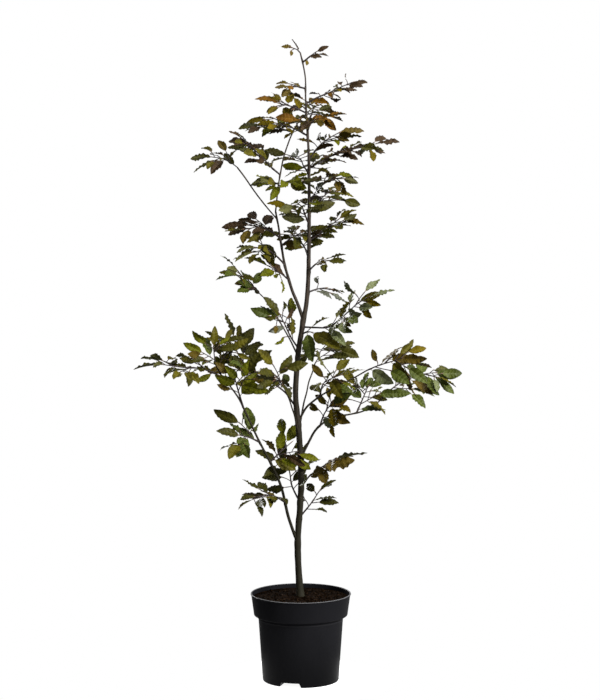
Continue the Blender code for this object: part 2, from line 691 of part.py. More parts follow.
def make_pot(finish):
    pot = turned_solid("pot", pot_outside() + pot_inside(), POT_SIDES, finish)
    wall_middle, drum_top = BODY_FOOT_RADIUS - WALL / 2, 2 * ARCH_HEIGHT
    drum_profile = [(0, 0), (wall_middle, 0), (wall_middle, drum_top), (0, drum_top)]
    for heading in ARCH_HEADINGS:
        roof = arch_bar("arch_roof", heading, WALL, ARCH_INNER_END - WALL, RIM_RADIUS, WALL / 2)
        cut(roof, turned_solid("drum", drum_profile, POT_SIDES, finish), "INTERSECT")
        cut(pot, roof, "UNION")
        cut(pot, arch_bar("arch_way", heading, 0.0, ARCH_INNER_END, RIM_RADIUS, -WALL), "DIFFERENCE")
        for place in DRAIN_HOLE_PLACES:
            mesh = bpy.data.meshes.new("drain_hole")
            work = bmesh.new()
            bmesh.ops.create_cone(
                work, cap_ends=True, segments=16, radius1=DRAIN_HOLE_RADIUS,
                radius2=DRAIN_HOLE_RADIUS, depth=ARCH_HEIGHT,
            )
            work.to_mesh(mesh)
            work.free()
            hole = bpy.data.objects.new("drain_hole", mesh)
            hole.location = direction(heading, 0) * place + Vector((0, 0, ARCH_HEIGHT + WALL / 2))
            bpy.context.scene.collection.objects.link(hole)
            cut(pot, hole, "DIFFERENCE")
    smooth(pot)
    return pot


def make_soil(finish):
    """Peat that fills the pot, clear of its walls and of the drain arches' roofs."""
    corner, *wall = reversed(pot_inside()[2:-1])
    profile = [(0, WALL + SEAT), (corner[0] - SEAT, WALL + SEAT)]
    profile += [(radius - SEAT, height) for radius, height in wall]
    edge = RIM_RADIUS - LIP_PROUD - WALL - SOIL_EDGE_GAP
    profile += [(edge, SOIL_TOP - SOIL_DIP)]
    profile += [(edge * SOIL_SHOULDER[0], SOIL_TOP - SOIL_DIP * SOIL_SHOULDER[1])]
    profile += [(SOIL_FLAT, SOIL_TOP), (0, SOIL_TOP)]
    soil = turned_solid("soil", profile, POT_SIDES, finish)
    for heading in ARCH_HEADINGS:
        inner = ARCH_INNER_END - WALL - SEAT
        cut(soil, arch_bar("arch_room", heading, WALL + SEAT, inner, RIM_RADIUS, 0.0), "DIFFERENCE")
    smooth(soil)
    return soil


def trunk_limb():
    foot, tip = TRUNK_BENDS[0][0], TRUNK_BENDS[-1][0]
    points, radii = [], []
    for i in range(TRUNK_RINGS + 1):
        share = i / TRUNK_RINGS
        height = foot + (tip - foot) * share
        x, y = smooth_row(TRUNK_BENDS, height)
        points.append(Vector((x, y, height)))
        radii.append(smooth_row(TRUNK_RADII, height)[0])
    return Limb(points, radii, TRUNK_SIDES, (points[0], Vector((0, 0, 1))))


def main():
    for old in list(bpy.data.objects):
        bpy.data.objects.remove(old)
    bark = material("bark", (0.075, 0.062, 0.048), 0.75)
    leafy = material("leafy_twigs", (0.055, 0.060, 0.020), 0.55)
    bronze = material("bronze_leaves", (0.110, 0.055, 0.018), 0.50)
    pot_black = material("pot_black", (0.012, 0.012, 0.014), 0.40)
    peat = material("peat", (0.030, 0.019, 0.012), 0.95)

    ground = bpy.context.scene.collection
    tree = bpy.data.objects.new("copper_beech", None)
    ground.objects.link(tree)
    pieces = [make_pot(pot_black), make_soil(peat)]

    space = Space()
    limbs = {"trunk": trunk_limb()}
    space.add(tube(limbs["trunk"]), "trunk")
    pieces.append(mesh_object("trunk", tube(limbs["trunk"]), bark, ground))
    smooth(pieces[-1])
    for i, (name, carrier, place, heading, rises, length, foot) in enumerate(BOUGHS):
        base = limbs[carrier]
        share = base.share_at_height(place) if carrier == "trunk" else place
        radii = (foot, foot * (1 + TIP_SHARE) / 2, max(foot * TIP_SHARE, TWIG_RADIUS))
        rng = random.Random(i)
        limbs[name] = grow_limb(
            base, share, heading, rises, length, radii, BOUGH_SIDES, BOUGH_STEP, BOUGH_SWAY, rng
        )
        solid = tube(limbs[name])
        space.add(solid, name)
        pieces.append(mesh_object(name, solid, bark, ground))
        smooth(pieces[-1])
    for row in SPRAYS:
        high = row[1] == "trunk" and (row[2] == 1.0 or row[2] > BRONZE_FROM)
        pieces.append(join_solids(row[0], grow_spray(row, limbs, space), bronze if high else leafy))
    for piece in pieces:
        piece.parent = tree


main()
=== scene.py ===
# %% [markdown]
# # A young copper beech in a nursery pot
#
# The measured tree comes in first: solids for the trunk, the boughs, the pot, the soil and
# every mass of foliage. They are true in size but coarse. This lesson dresses them. Each
# mass is grown again by the same seeded rule, so that the fine leaves land on the coarse
# ones, and then the rule goes on to finer twigs within the same reach.

# %% Load the measured tree
import json
import math
import random

import bpy
from mathutils import Matrix, Vector, noise
from mathutils.bvhtree import BVHTree

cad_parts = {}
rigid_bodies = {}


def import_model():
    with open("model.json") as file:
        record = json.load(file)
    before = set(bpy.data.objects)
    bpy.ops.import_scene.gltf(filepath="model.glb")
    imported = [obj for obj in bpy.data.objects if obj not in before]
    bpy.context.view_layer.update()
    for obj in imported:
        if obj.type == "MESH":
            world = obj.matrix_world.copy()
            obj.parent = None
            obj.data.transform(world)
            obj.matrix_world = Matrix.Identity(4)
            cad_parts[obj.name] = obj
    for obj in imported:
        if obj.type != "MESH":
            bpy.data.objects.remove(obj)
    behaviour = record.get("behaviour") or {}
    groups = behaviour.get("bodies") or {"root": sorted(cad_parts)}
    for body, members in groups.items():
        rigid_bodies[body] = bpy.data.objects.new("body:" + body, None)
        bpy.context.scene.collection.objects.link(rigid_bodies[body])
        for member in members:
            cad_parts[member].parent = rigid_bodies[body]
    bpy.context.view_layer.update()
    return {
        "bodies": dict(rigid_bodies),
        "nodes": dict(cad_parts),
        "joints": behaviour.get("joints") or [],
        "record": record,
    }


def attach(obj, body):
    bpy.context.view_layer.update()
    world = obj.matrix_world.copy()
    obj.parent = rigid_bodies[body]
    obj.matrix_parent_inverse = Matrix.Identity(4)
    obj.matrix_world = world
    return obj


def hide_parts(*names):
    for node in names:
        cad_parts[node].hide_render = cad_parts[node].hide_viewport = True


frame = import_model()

# %% [markdown]
# ## The camera
#
# The tree was photographed from a little above its middle, from far enough away that the
# pot's rim is a thin ellipse. A long lens six and a half metres away, tilted six degrees
# down, gives that ellipse and keeps the trunk upright.

# %% Camera
CAMERA_PLACE = (-0.002, -6.5, 1.55)
# Tilt from looking straight down, 90 being level
CAMERA_TILT = 84.0
LENS = 130.2

lens = bpy.data.cameras.new("studio_camera")
lens.lens = LENS
camera = bpy.data.objects.new("studio_camera", lens)
camera.location = CAMERA_PLACE
camera.rotation_euler = (math.radians(CAMERA_TILT), 0, 0)
bpy.context.scene.collection.objects.link(camera)
bpy.context.scene.camera = camera
print("camera:", LENS, "mm lens at", CAMERA_PLACE)

# %% [markdown]
# ## Lamps
#
# The photograph has soft daylight from above, stronger from the right. A wide lamp overhead
# makes most of it, and a strong one at the right front gives the leaves their sheen and the
# pot its soft highlight. A faint lamp opens the shadows at the left, and one behind lights
# the side that the photograph doesn't show. A disc of light has soft shadows all round,
# which a sun or a spot lamp hasn't.

# %% Lamps
# Lamp: place, what it is aimed at, width, power
LAMPS = (
    ("overhead", (0.5, -0.4, 4.4), (0, 0, 0.6), 2.6, 100.0),
    ("right_side", (2.7, -2.3, 2.5), (0, 0, 0.8), 1.8, 250.0),
    ("left_side", (-3.0, -1.4, 2.8), (0, 0, 1.2), 1.2, 5.0),
    ("behind", (-1.6, 3.3, 1.7), (0, 0, 0.9), 1.4, 120.0),
)

for name, place, target, width, power in LAMPS:
    light = bpy.data.lights.new(name, "AREA")
    light.shape = "DISK"
    light.size = width
    light.energy = power
    lamp = bpy.data.objects.new(name, light)
    lamp.location = place
    ahead = Vector(target) - lamp.location
    lamp.rotation_euler = ahead.to_track_quat("-Z", "Y").to_euler()
    bpy.context.scene.collection.objects.link(lamp)
print("lamps:", len(LAMPS))

# %% [markdown]
# ## The sky
#
# The photograph's ground is seamless white, so the camera sees a white sky. The light that
# the sky sends to the tree is dimmer, and dimmest from the left, because a black pot in an
# evenly white room would turn grey all over. A Light Path node tells what the camera sees
# from what lights the tree, and the direction's X tells left from right.

# %% Sky
SKY_SEEN = 1.0
SKY_LEFT = 0.13
SKY_RIGHT = 0.52

sky = bpy.data.worlds.new("studio_sky")
bpy.context.scene.world = sky
sky.use_nodes = True
sky_nodes, sky_links = sky.node_tree.nodes, sky.node_tree.links
glow = sky_nodes["Background"]
glow.inputs["Color"].default_value = (1.0, 1.0, 1.0, 1.0)
toward = sky_nodes.new("ShaderNodeTexCoord")
split = sky_nodes.new("ShaderNodeSeparateXYZ")
sky_links.new(toward.outputs["Generated"], split.inputs["Vector"])
shade = sky_nodes.new("ShaderNodeMapRange")
shade.inputs["From Min"].default_value = -1.0
shade.inputs["To Min"].default_value = SKY_LEFT
shade.inputs["To Max"].default_value = SKY_RIGHT
sky_links.new(split.outputs["X"], shade.inputs["Value"])
ray = sky_nodes.new("ShaderNodeLightPath")
level = sky_nodes.new("ShaderNodeMapRange")
level.inputs["To Max"].default_value = SKY_SEEN
sky_links.new(shade.outputs["Result"], level.inputs["To Min"])
sky_links.new(ray.outputs["Is Camera Ray"], level.inputs["Value"])
sky_links.new(level.outputs["Result"], glow.inputs["Strength"])

# Tones as they are, without a film curve
bpy.context.scene.view_settings.view_transform = "Standard"
print("sky from", SKY_LEFT, "at the left to", SKY_RIGHT, "at the right, seen as", SKY_SEEN)

# %% [markdown]
# ## Shader sums as plain sums
#
# A finish such as bark is a pattern of patterns. Written out as nodes it is hard to read,
# so a small class stands for the wire that leaves a node, and adding or multiplying two
# wires adds the Math node that does it. Every other node comes from one method.

# %% Wires and finishes
class Wire:
    """What leaves a node; used in a sum it adds the Math node."""

    def __init__(self, finish, socket):
        self.finish = finish
        self.socket = socket

    def maths(self, operation, first, second=0.0):
        return self.finish.node("ShaderNodeMath", {"operation": operation}, {0: first, 1: second})

    def __add__(self, other):
        return self.maths("ADD", self, other)

    def __mul__(self, other):
        return self.maths("MULTIPLY", self, other)

    def __sub__(self, other):
        return self.maths("SUBTRACT", self, other)

    def __rsub__(self, other):
        return self.maths("SUBTRACT", other, self)

    def __pow__(self, power):
        return self.maths("POWER", self, power)

    def __abs__(self):
        return self.maths("ABSOLUTE", self)

    __radd__ = __add__
    __rmul__ = __mul__


class Finish:
    """A material in the making."""

    def __init__(self, name, **fixed):
        self.material = bpy.data.materials.new(name)
        self.material.use_nodes = True
        self.tree = self.material.node_tree
        self.shader = self.tree.nodes["Principled BSDF"]
        for socket, value in fixed.items():
            self.feed(self.shader.inputs[socket.replace("_", " ")], value)

    def feed(self, socket, value):
        """Links a wire to a socket or sets its value; a colour gets its alpha here."""
        if isinstance(value, Wire):
            self.tree.links.new(value.socket, socket)
        elif socket.type == "RGBA":
            socket.default_value = (*value, 1.0)
        else:
            socket.default_value = value

    def node(self, kind, settings, sockets, output=0):
        """Adds a node: its settings first, then the values or wires of its sockets."""
        node = self.tree.nodes.new(kind)
        for setting, value in settings.items():
            setattr(node, setting, value)
        for socket, value in sockets.items():
            self.feed(node.inputs[socket], value)
        return Wire(self, node.outputs[output])

    def place(self):
        """Where a point lies on the object, in metres."""
        return self.node("ShaderNodeTexCoord", {}, {}, "Object")

    def height(self, place):
        """How high a place lies above the ground, in metres."""
        return self.node("ShaderNodeSeparateXYZ", {}, {"Vector": place}, "Z")

    def stretched(self, place, scale):
        """The same place with each direction scaled, for grain that runs one way."""
        return self.node("ShaderNodeVectorMath", {"operation": "MULTIPLY"}, {0: place, 1: scale})

    def mottle(self, place, scale, detail=3.0, rough=0.55):
        """Cloudy noise round one half, finer with a larger scale."""
        sockets = {"Vector": place, "Scale": scale, "Detail": detail, "Roughness": rough}
        return self.node("ShaderNodeTexNoise", {}, sockets)

    def spots(self, place, scale):
        """Distance to the nearest of many scattered points."""
        return self.node("ShaderNodeTexVoronoi", {}, {"Vector": place, "Scale": scale}, "Distance")

    def between(self, value, low, high):
        """0 below low, 1 above high."""
        sockets = {"Value": value, "From Min": low, "From Max": high}
        return self.node("ShaderNodeMapRange", {"interpolation_type": "SMOOTHSTEP"}, sockets)

    def blend(self, share, first, second):
        """From the first colour to the second."""
        return self.node("ShaderNodeMix", {"data_type": "RGBA"}, {0: share, 6: first, 7: second}, 2)

    def attribute(self, name):
        """A mark that was stored on the mesh's points."""
        return self.node("ShaderNodeAttribute", {"attribute_name": name}, {}, "Fac")

    def relief(self, height, strength, depth):
        sockets = {"Height": height, "Strength": strength, "Distance": depth}
        bump = self.node("ShaderNodeBump", {}, sockets, "Normal")
        self.feed(self.shader.inputs["Normal"], bump)

    def paint(self, colour, roughness):
        self.feed(self.shader.inputs["Base Color"], colour)
        self.feed(self.shader.inputs["Roughness"], roughness)


# %% [markdown]
# ## Sizes of the trunk and boughs
#
# These tables are the measured tree's own. A heading is an angle seen from above, with 0 at
# the right, 90 behind and 270 in front. A rise is an angle above level. A limb is walked
# from its foot: at every step it keeps its heading, follows its rises and sways a little.

# %% Trunk and bough sizes
# Air between a limb's foot and what carries it
SEAT = 0.0003
# Trunk: height, place to the right, place behind
TRUNK_BENDS = (
    (0.2217, -0.0007, 0.000),
    (0.300, -0.0062, 0.003),
    (0.368, -0.0078, 0.004),
    (0.526, 0.0011, 0.001),
    (0.667, -0.0059, -0.005),
    (0.750, -0.0134, -0.004),
    (0.883, -0.0038, 0.003),
    (0.946, 0.0073, 0.005),
    (1.015, 0.0176, 0.004),
    (1.254, 0.0216, -0.004),
    (1.400, 0.0190, -0.006),
    (1.497, 0.0128, 0.000),
    (1.560, 0.0120, 0.004),
    (1.598, 0.0067, 0.004),
    (1.628, -0.0010, 0.001),
)
# Trunk: height, radius
TRUNK_RADII = (
    (0.2217, 0.0103),
    (0.240, 0.0092),
    (0.270, 0.0087),
    (0.560, 0.0078),
    (0.880, 0.0067),
    (0.960, 0.0061),
    (1.130, 0.0050),
    (1.340, 0.0035),
    (1.520, 0.0022),
    (1.628, 0.0012),
)
TRUNK_RINGS = 24
TRUNK_SIDES = 10
BOUGH_SIDES = 6
BOUGH_STEP = 0.034
BOUGH_SWAY = 4.0
# Tip radius of a bough as a share of its foot's
TIP_SHARE = 0.45

# Boughs: name, carrier, place on it, heading, rises from foot to tip, length, foot radius
BOUGHS = (
    ("bough_left_low", "trunk", 0.362, 200, (66, 80, 62, 62, 64, 48), 0.467, 0.0042),
    ("bough_left_high", "trunk", 0.850, 190, (64, 60, 54), 0.165, 0.0022),
    ("bough_fork", "trunk", 0.945, 165, (67, 69, 77, 84, 74), 0.277, 0.0046),
    ("bough_fork_up", "bough_fork", 1.0, 20, (84, 82, 72, 58), 0.240, 0.0021),
    ("bough_fork_left", "bough_fork", 0.93, 190, (50, 54, 54), 0.165, 0.0020),
    ("bough_right_low", "trunk", 0.583, 20, (64, 55, 24, 2, 21, 45), 0.276, 0.0034),
    ("bough_right_long", "trunk", 0.677, 345, (66, 39, 27, 28, 32), 0.222, 0.0031),
    ("bough_front", "trunk", 0.640, 255, (58, 44, 34), 0.190, 0.0026),
    ("bough_back", "trunk", 0.655, 75, (56, 42, 30), 0.220, 0.0027),
)
print("trunk from", TRUNK_BENDS[0][0], "to", TRUNK_BENDS[-1][0], "m, boughs:", len(BOUGHS))

# %% [markdown]
# ## Sizes of the sprays
#
# A spray is one flat fan of twigs and leaves, as a beech holds it. Near the top the fans
# lie level and show their edges; at the sides they turn to face the front, which the
# last angle says.

# %% Spray sizes
# Sprays: name, carrier, place on it, heading, rises from foot to tip, length,
# bare share of the stem, side twigs, their length, leaf length, turn from level to facing, seed
SPRAYS = (
    ("spray_tip", "trunk", 1.0, 175, (60, 15), 0.022, 0.3, 0, 0.0, 0.038, 25, 7),
    ("spray_top_right", "trunk", 1.604, 350, (36, 36), 0.045, 0.5, 0, 0.0, 0.036, 30, 19),
    ("spray_top_left", "trunk", 1.538, 195, (20, 5), 0.035, 0.3, 2, 0.030, 0.044, 30, 15),
    ("spray_crest_left", "trunk", 1.476, 188, (25, 8), 0.070, 0.2, 1, 0.040, 0.050, 45, 8),
    ("spray_crest_right", "trunk", 1.500, 10, (25, 23), 0.130, 0.1, 1, 0.030, 0.046, 15, 2),
    ("spray_crest_back", "trunk", 1.450, 75, (35, 12), 0.100, 0.2, 2, 0.050, 0.054, 50, 20),
    ("spray_shoulder_left", "trunk", 1.418, 178, (30, 8), 0.080, 0.1, 3, 0.045, 0.054, 20, 24),
    ("spray_shoulder_front", "trunk", 1.430, 290, (40, 12), 0.070, 0.1, 2, 0.045, 0.056, 20, 12),
    ("spray_upper_right", "trunk", 1.356, 25, (55, 38, 20), 0.105, 0.2, 1, 0.045, 0.058, 12, 6),
    ("spray_upper_right_long", "trunk", 1.335, 350, (31, 18, 10), 0.175, 0.1, 2, 0.055, 0.056, 10, 14),
    ("spray_upper_back", "trunk", 1.300, 105, (42, 14), 0.130, 0.1, 2, 0.060, 0.058, 12, 23),
    ("spray_middle_right", "trunk", 1.245, 335, (58, 40, -5), 0.105, 0.2, 1, 0.050, 0.056, 10, 24),
    ("spray_middle_back", "trunk", 1.215, 60, (40, 15), 0.120, 0.1, 2, 0.060, 0.058, 15, 18),
    ("spray_middle_front", "trunk", 1.190, 250, (48, 18), 0.100, 0.1, 2, 0.050, 0.056, 20, 13),
    ("spray_middle_low", "trunk", 1.150, 12, (28, 34, 40), 0.090, 0.3, 1, 0.045, 0.056, 8, 8),
    ("spray_inner_back", "trunk", 1.100, 110, (45, 20), 0.120, 0.2, 2, 0.060, 0.058, 15, 29),
    ("spray_inner_right", "trunk", 1.070, 350, (48, 20), 0.045, 0.3, 1, 0.035, 0.052, 20, 12),
    ("spray_inner_low", "trunk", 1.015, 20, (20, 2), 0.045, 0.3, 1, 0.035, 0.050, 25, 21),
    ("spray_fork_top", "bough_fork_up", 1.0, 350, (50, 36), 0.045, 0.1, 2, 0.040, 0.052, 15, 14),
    ("spray_fork_high", "bough_fork_up", 0.88, 187, (15, 10), 0.085, 0.1, 2, 0.045, 0.054, 12, 12),
    ("spray_fork_upper", "bough_fork_up", 0.40, 200, (35, 46, 44), 0.120, 0.2, 4, 0.045, 0.054, 14, 13),
    ("spray_fork_front", "bough_fork_up", 0.25, 300, (30, 10), 0.065, 0.1, 3, 0.050, 0.058, 15, 29),
    ("spray_fork_left", "bough_fork_left", 1.0, 185, (45, 20, 4), 0.070, 0.1, 2, 0.035, 0.054, 30, 6),
    ("spray_fork_middle", "bough_fork", 0.75, 182, (46, 20, 5), 0.085, 0.2, 2, 0.050, 0.060, 10, 29),
    ("spray_fork_low", "bough_fork", 0.50, 205, (50, 26, 4), 0.090, 0.2, 2, 0.050, 0.062, 12, 24),
    ("spray_fork_face", "bough_fork", 0.35, 230, (40, 10), 0.060, 0.1, 1, 0.045, 0.060, 40, 10),
    ("spray_fork_right", "bough_fork", 0.68, 20, (40, 15), 0.060, 0.1, 1, 0.040, 0.056, 15, 24),
    ("spray_left_high", "bough_left_high", 1.0, 190, (44, 46, 50), 0.100, 0.1, 2, 0.050, 0.054, 15, 10),
    ("spray_inner_left", "trunk", 0.868, 215, (56, 62, 66), 0.100, 0.3, 2, 0.045, 0.052, 55, 15),
    ("spray_left_mid", "trunk", 0.716, 163, (52, 40, 5, 54, 62, 88), 0.250, 0.35, 4, 0.058, 0.060, 40, 2),
    ("spray_left_end", "bough_left_low", 1.0, 194, (36, 6, 10), 0.168, 0.2, 3, 0.060, 0.056, 15, 30),
    ("spray_left_upright", "bough_left_low", 0.96, 185, (50, 75, 90), 0.095, 0.3, 3, 0.050, 0.054, 55, 28),
    ("spray_left_shoulder", "bough_left_low", 0.80, 215, (71, 73), 0.080, 0.2, 2, 0.050, 0.062, 60, 3),
    ("spray_left_flank", "bough_left_low", 0.58, 215, (30, 10), 0.060, 0.1, 2, 0.050, 0.066, 45, 16),
    ("spray_left_inner", "bough_left_low", 0.45, 20, (50, 35), 0.070, 0.1, 2, 0.050, 0.060, 55, 15),
    ("spray_left_low", "bough_left_low", 0.20, 225, (39, 20, 0, -10), 0.120, 0.2, 2, 0.045, 0.050, 20, 28),
    ("spray_low_left", "trunk", 0.470, 150, (50, 80, 60), 0.110, 0.4, 2, 0.045, 0.060, 50, 16),
    ("spray_low_right", "trunk", 0.507, 320, (52, 30, 31), 0.130, 0.3, 0, 0.0, 0.080, 10, 11),
    ("spray_low_foot", "trunk", 0.428, 20, (46, 51, 54), 0.075, 0.6, 0, 0.0, 0.056, 30, 11),
    ("spray_right_end", "bough_right_low", 1.0, 20, (44, 30, 12, 6), 0.165, 0.1, 3, 0.055, 0.066, 40, 1),
    ("spray_right_flank", "bough_right_low", 0.70, 60, (50, 36), 0.080, 0.1, 2, 0.050, 0.058, 50, 21),
    ("spray_right_under", "bough_right_low", 0.30, 310, (60, 45), 0.080, 0.2, 3, 0.050, 0.056, 50, 6),
    ("spray_right_long", "bough_right_long", 1.0, 345, (24, 18, 14), 0.100, 0.1, 3, 0.055, 0.066, 55, 19),
    ("spray_right_inner", "bough_right_long", 0.35, 290, (50, 30), 0.080, 0.1, 2, 0.050, 0.064, 50, 2),
    ("spray_right_high", "trunk", 0.926, 330, (2, 6, 45, 36, 33), 0.210, 0.35, 2, 0.055, 0.060, 35, 28),
    ("spray_right_drop", "trunk", 0.905, 320, (30, -10), 0.030, 0.5, 0, 0.0, 0.080, 70, 8),
    ("spray_front", "bough_front", 1.0, 255, (34, 20), 0.090, 0.1, 2, 0.060, 0.062, 50, 23),
    ("spray_back", "bough_back", 1.0, 75, (30, 16), 0.110, 0.1, 3, 0.060, 0.062, 45, 7),
)
print("sprays:", len(SPRAYS))

# %% [markdown]
# ## The rule of the twigs and leaves
#
# A few numbers grow every spray: how far apart the leaves stand, at what angle a twig forks,
# how much it sways, and how far chance may go in each. Placing hundreds of leaves by hand
# would take thousands of numbers, and a rule can also go on to finer twigs later. Lengths
# are in metres and angles in degrees, and a pair is the range that chance draws from.

# %% Rule of the twigs and leaves
STEM_RADIUS = 0.0018
TWIG_RADIUS = 0.0010
TWIG_END_RADIUS = 0.0008
END_LEAF_SUNK = 0.0025
TWIG_SIDES = 3
TWIG_STEP = 0.034
TWIG_SWAY = 7.0
SWAY_ACROSS = (0.3, 1.0)
SWAY_UP = 0.5
FORK_ANGLE = 46.0
FORK_SPREAD = (0.70, 1.25)
TWIG_ROLL = 20.0
TWIG_FLATTENS = 0.7
TWIG_SIZES = (0.80, 1.20)
TWIG_AT_FOOT = 1.10
TWIG_LOST_BY_TIP = 0.40
BARE_TWIG = 0.35
TWIGS_END = 0.95
LEAF_SPACING = 0.034
LEAF_ANGLE = 48.0
LEAF_SPREAD = (0.75, 1.30)
END_LEAF_TURN = 14.0
LEAF_DROOP = 16.0
LEAF_JITTER = 22.0
LEAF_SIZES = (0.95, 1.28)
LEAF_HALF_WIDTH = 0.24
LEAF_ROOT = 0.0003
LEAF_THICK = 0.020
LEAF_FOLD = 0.085
LEAF_WAVE = 0.022
LEAF_ARCH = 0.10
LEAF_MIDDLE = 0.55
# Share of the leaf's length and of its greatest half width, from base to tip
LEAF_OUTLINE = ((0.40, 1.00), (0.74, 0.78))
# Clearance kept round a twig or leaf, past its first stretch
GUARD = 0.0012
LEAF_GUARD_FROM = 0.22
TWIG_GUARD_FROM = 0.15
TRIES = 5
# Heading a turned spray faces, and how far to either side of it
FRONT = 270.0
FRONT_SPREAD = 30.0

# %% [markdown]
# ## Reading headings, rises and tables
#
# Three small readings serve every limb: a direction from a heading and a rise, a value part
# of the way along a row, and a smooth curve through a table's rows.

# %% Readings
def direction(heading, rise):
    across = math.cos(math.radians(rise))
    angle = math.radians(heading)
    return Vector((math.cos(angle) * across, math.sin(angle) * across, math.sin(math.radians(rise))))


def along(values, share):
    """The value at a share of the way along an evenly spaced row of values."""
    place = min(max(share, 0.0), 1.0) * (len(values) - 1)
    first = min(int(place), len(values) - 2)
    return values[first] + (values[first + 1] - values[first]) * (place - first)


def smooth_row(rows, key):
    """Smooth reading of a table of rows (key, value, ...), by a cubic through its points."""
    last = len(rows) - 1
    i = 0
    while i < last - 1 and key > rows[i + 1][0]:
        i += 1
    before, start, end, after = rows[max(i - 1, 0)], rows[i], rows[i + 1], rows[min(i + 2, last)]
    t = (key - start[0]) / (end[0] - start[0])
    values = []
    for k in range(1, len(start)):
        slope_start = (end[k] - before[k]) / (end[0] - before[0])
        slope_end = (after[k] - start[k]) / (after[0] - start[0])
        width = end[0] - start[0]
        values.append(
            (2 * t**3 - 3 * t**2 + 1) * start[k]
            + (t**3 - 2 * t**2 + t) * width * slope_start
            + (3 * t**2 - 2 * t**3) * end[k]
            + (t**3 - t**2) * width * slope_end
        )
    return values


print("trunk's sideways place at 1 m:", smooth_row(TRUNK_BENDS, 1.0))


# %% [markdown]
# ## A limb and its plain tube
#
# A limb is a line of points with a radius at each. Its plain tube, coarse and closed, is
# what new growth has to keep clear of. The bark, rings and buds come later, on the same
# line.

# %% Limbs
HALVINGS = 30


class Limb:
    """The centreline of a trunk, bough or twig, with its radius at each point."""

    def __init__(self, points, radii, sides, seat=None):
        self.points = points
        self.radii = radii
        self.sides = sides
        self.seat = seat

    def length(self):
        """Length along the bends."""
        return sum((b - a).length for a, b in zip(self.points, self.points[1:]))

    def at(self, share):
        """Point, direction and radius at a share of the length."""
        goal = self.length() * share
        for i, (a, b) in enumerate(zip(self.points, self.points[1:])):
            step = (b - a).length
            if goal <= step or i == len(self.points) - 2:
                t = min(goal / step, 1.0)
                radius = self.radii[i] + (self.radii[i + 1] - self.radii[i]) * t
                return a.lerp(b, t), (b - a).normalized(), radius
            goal -= step

    def share_at_height(self, height):
        """Share of the length at which an upright limb reaches a height, by halving."""
        low, high = 0.0, 1.0
        for _ in range(HALVINGS):
            middle = (low + high) / 2
            if self.at(middle)[0].z < height:
                low = middle
            else:
                high = middle
        return low


# %% [markdown]
# ## Walking a limb
#
# A branch is never straight: at each bud it turns a little one way and then the other. So a
# limb is walked in short steps from its foot. A random number generator with a seed of its
# own gives the turns, and the same seed always gives the same limb.

# %% Walks and tubes
def walk(start, heading, rises, length, step, sway, rng):
    """Points of a limb that keeps its heading, follows its rises and sways a little."""
    count = max(2, round(length / step))
    points = [start]
    for i in range(count):
        side = sway if i % 2 else -sway
        bend = direction(
            heading + side * rng.uniform(*SWAY_ACROSS),
            along(rises, (i + 0.5) / count) + rng.uniform(-sway, sway) * SWAY_UP,
        )
        points.append(points[-1] + bend * (length / count))
    return points


def tube(limb):
    """Closed tapering tube round a limb, its foot cut parallel to what carries it."""
    verts, faces = [], []
    across = None
    count = len(limb.points)
    sides = limb.sides
    for i, (point, radius) in enumerate(zip(limb.points, limb.radii)):
        ahead = limb.points[min(i + 1, count - 1)] - limb.points[max(i - 1, 0)]
        ahead.normalize()
        if across is None:
            across = ahead.orthogonal()
        across = (across - ahead * across.dot(ahead)).normalized()
        beside = ahead.cross(across)
        for k in range(sides):
            angle = 2 * math.pi * k / sides
            ring = point + (across * math.cos(angle) + beside * math.sin(angle)) * radius
            if i == 0 and limb.seat:
                foot = (limb.points[1] - limb.points[0]).normalized()
                place, facing = limb.seat
                ring += foot * ((place - ring).dot(facing) / foot.dot(facing))
            verts.append(ring)
    for i in range(count - 1):
        for k in range(sides):
            low, high = i * sides, (i + 1) * sides
            nxt = (k + 1) % sides
            faces.append((low + k, low + nxt, high + nxt))
            faces.append((low + k, high + nxt, high + k))
    faces.append(tuple(reversed(range(sides))))
    faces.append(tuple(range((count - 1) * sides, count * sides)))
    return verts, faces


# %% [markdown]
# ## Where a limb leaves its carrier
#
# A branch grows out of the flank of what carries it, or on from its tip. A ray is shot at the
# carrier's tube to find the flank and which way it faces, and the new limb starts there.

# %% Seats
def seat_on(carrier, share, first_direction):
    """Start point and seat plane of a limb that leaves a carrier's flank or its tip."""
    point, ahead, radius = carrier.at(share)
    if share >= 1.0:
        place = point + ahead * SEAT
        return place, (place, ahead)
    outward = (first_direction - ahead * first_direction.dot(ahead)).normalized()
    flank = BVHTree.FromPolygons(*tube(carrier))
    place, facing, _, _ = flank.ray_cast(point + outward * radius * 2, -outward)
    reach = ((place - point).dot(facing) + SEAT) / first_direction.dot(facing)
    start = point + first_direction * reach
    return start, (start, facing)


def grow_limb(carrier, share, heading, rises, length, radii, sides, step, sway, rng):
    """A limb on a carrier: it starts at its seat and tapers between two radii."""
    start, seat = seat_on(carrier, share, direction(heading, rises[0]))
    points = walk(start, heading, rises, length, step, sway, rng)
    count = len(points) - 1
    shrink = [along(radii, i / count) for i in range(count + 1)]
    return Limb(points, shrink, sides, seat)


# %% [markdown]
# ## Room to grow
#
# Real leaves share the light, so they rarely cross. Here each new twig or leaf is tried
# against everything that already stands, and left out where it would touch. A plain folded
# leaf of a few faces is enough for the test, and a tree of its faces makes the test fast.

# %% The plain leaf
def leaf_frame(root, axis, facing):
    """Axes of a leaf: along it, across it and out of its upper face."""
    side = facing.cross(axis).normalized()
    return Matrix((axis, side, axis.cross(side))).transposed().to_4x4(), root


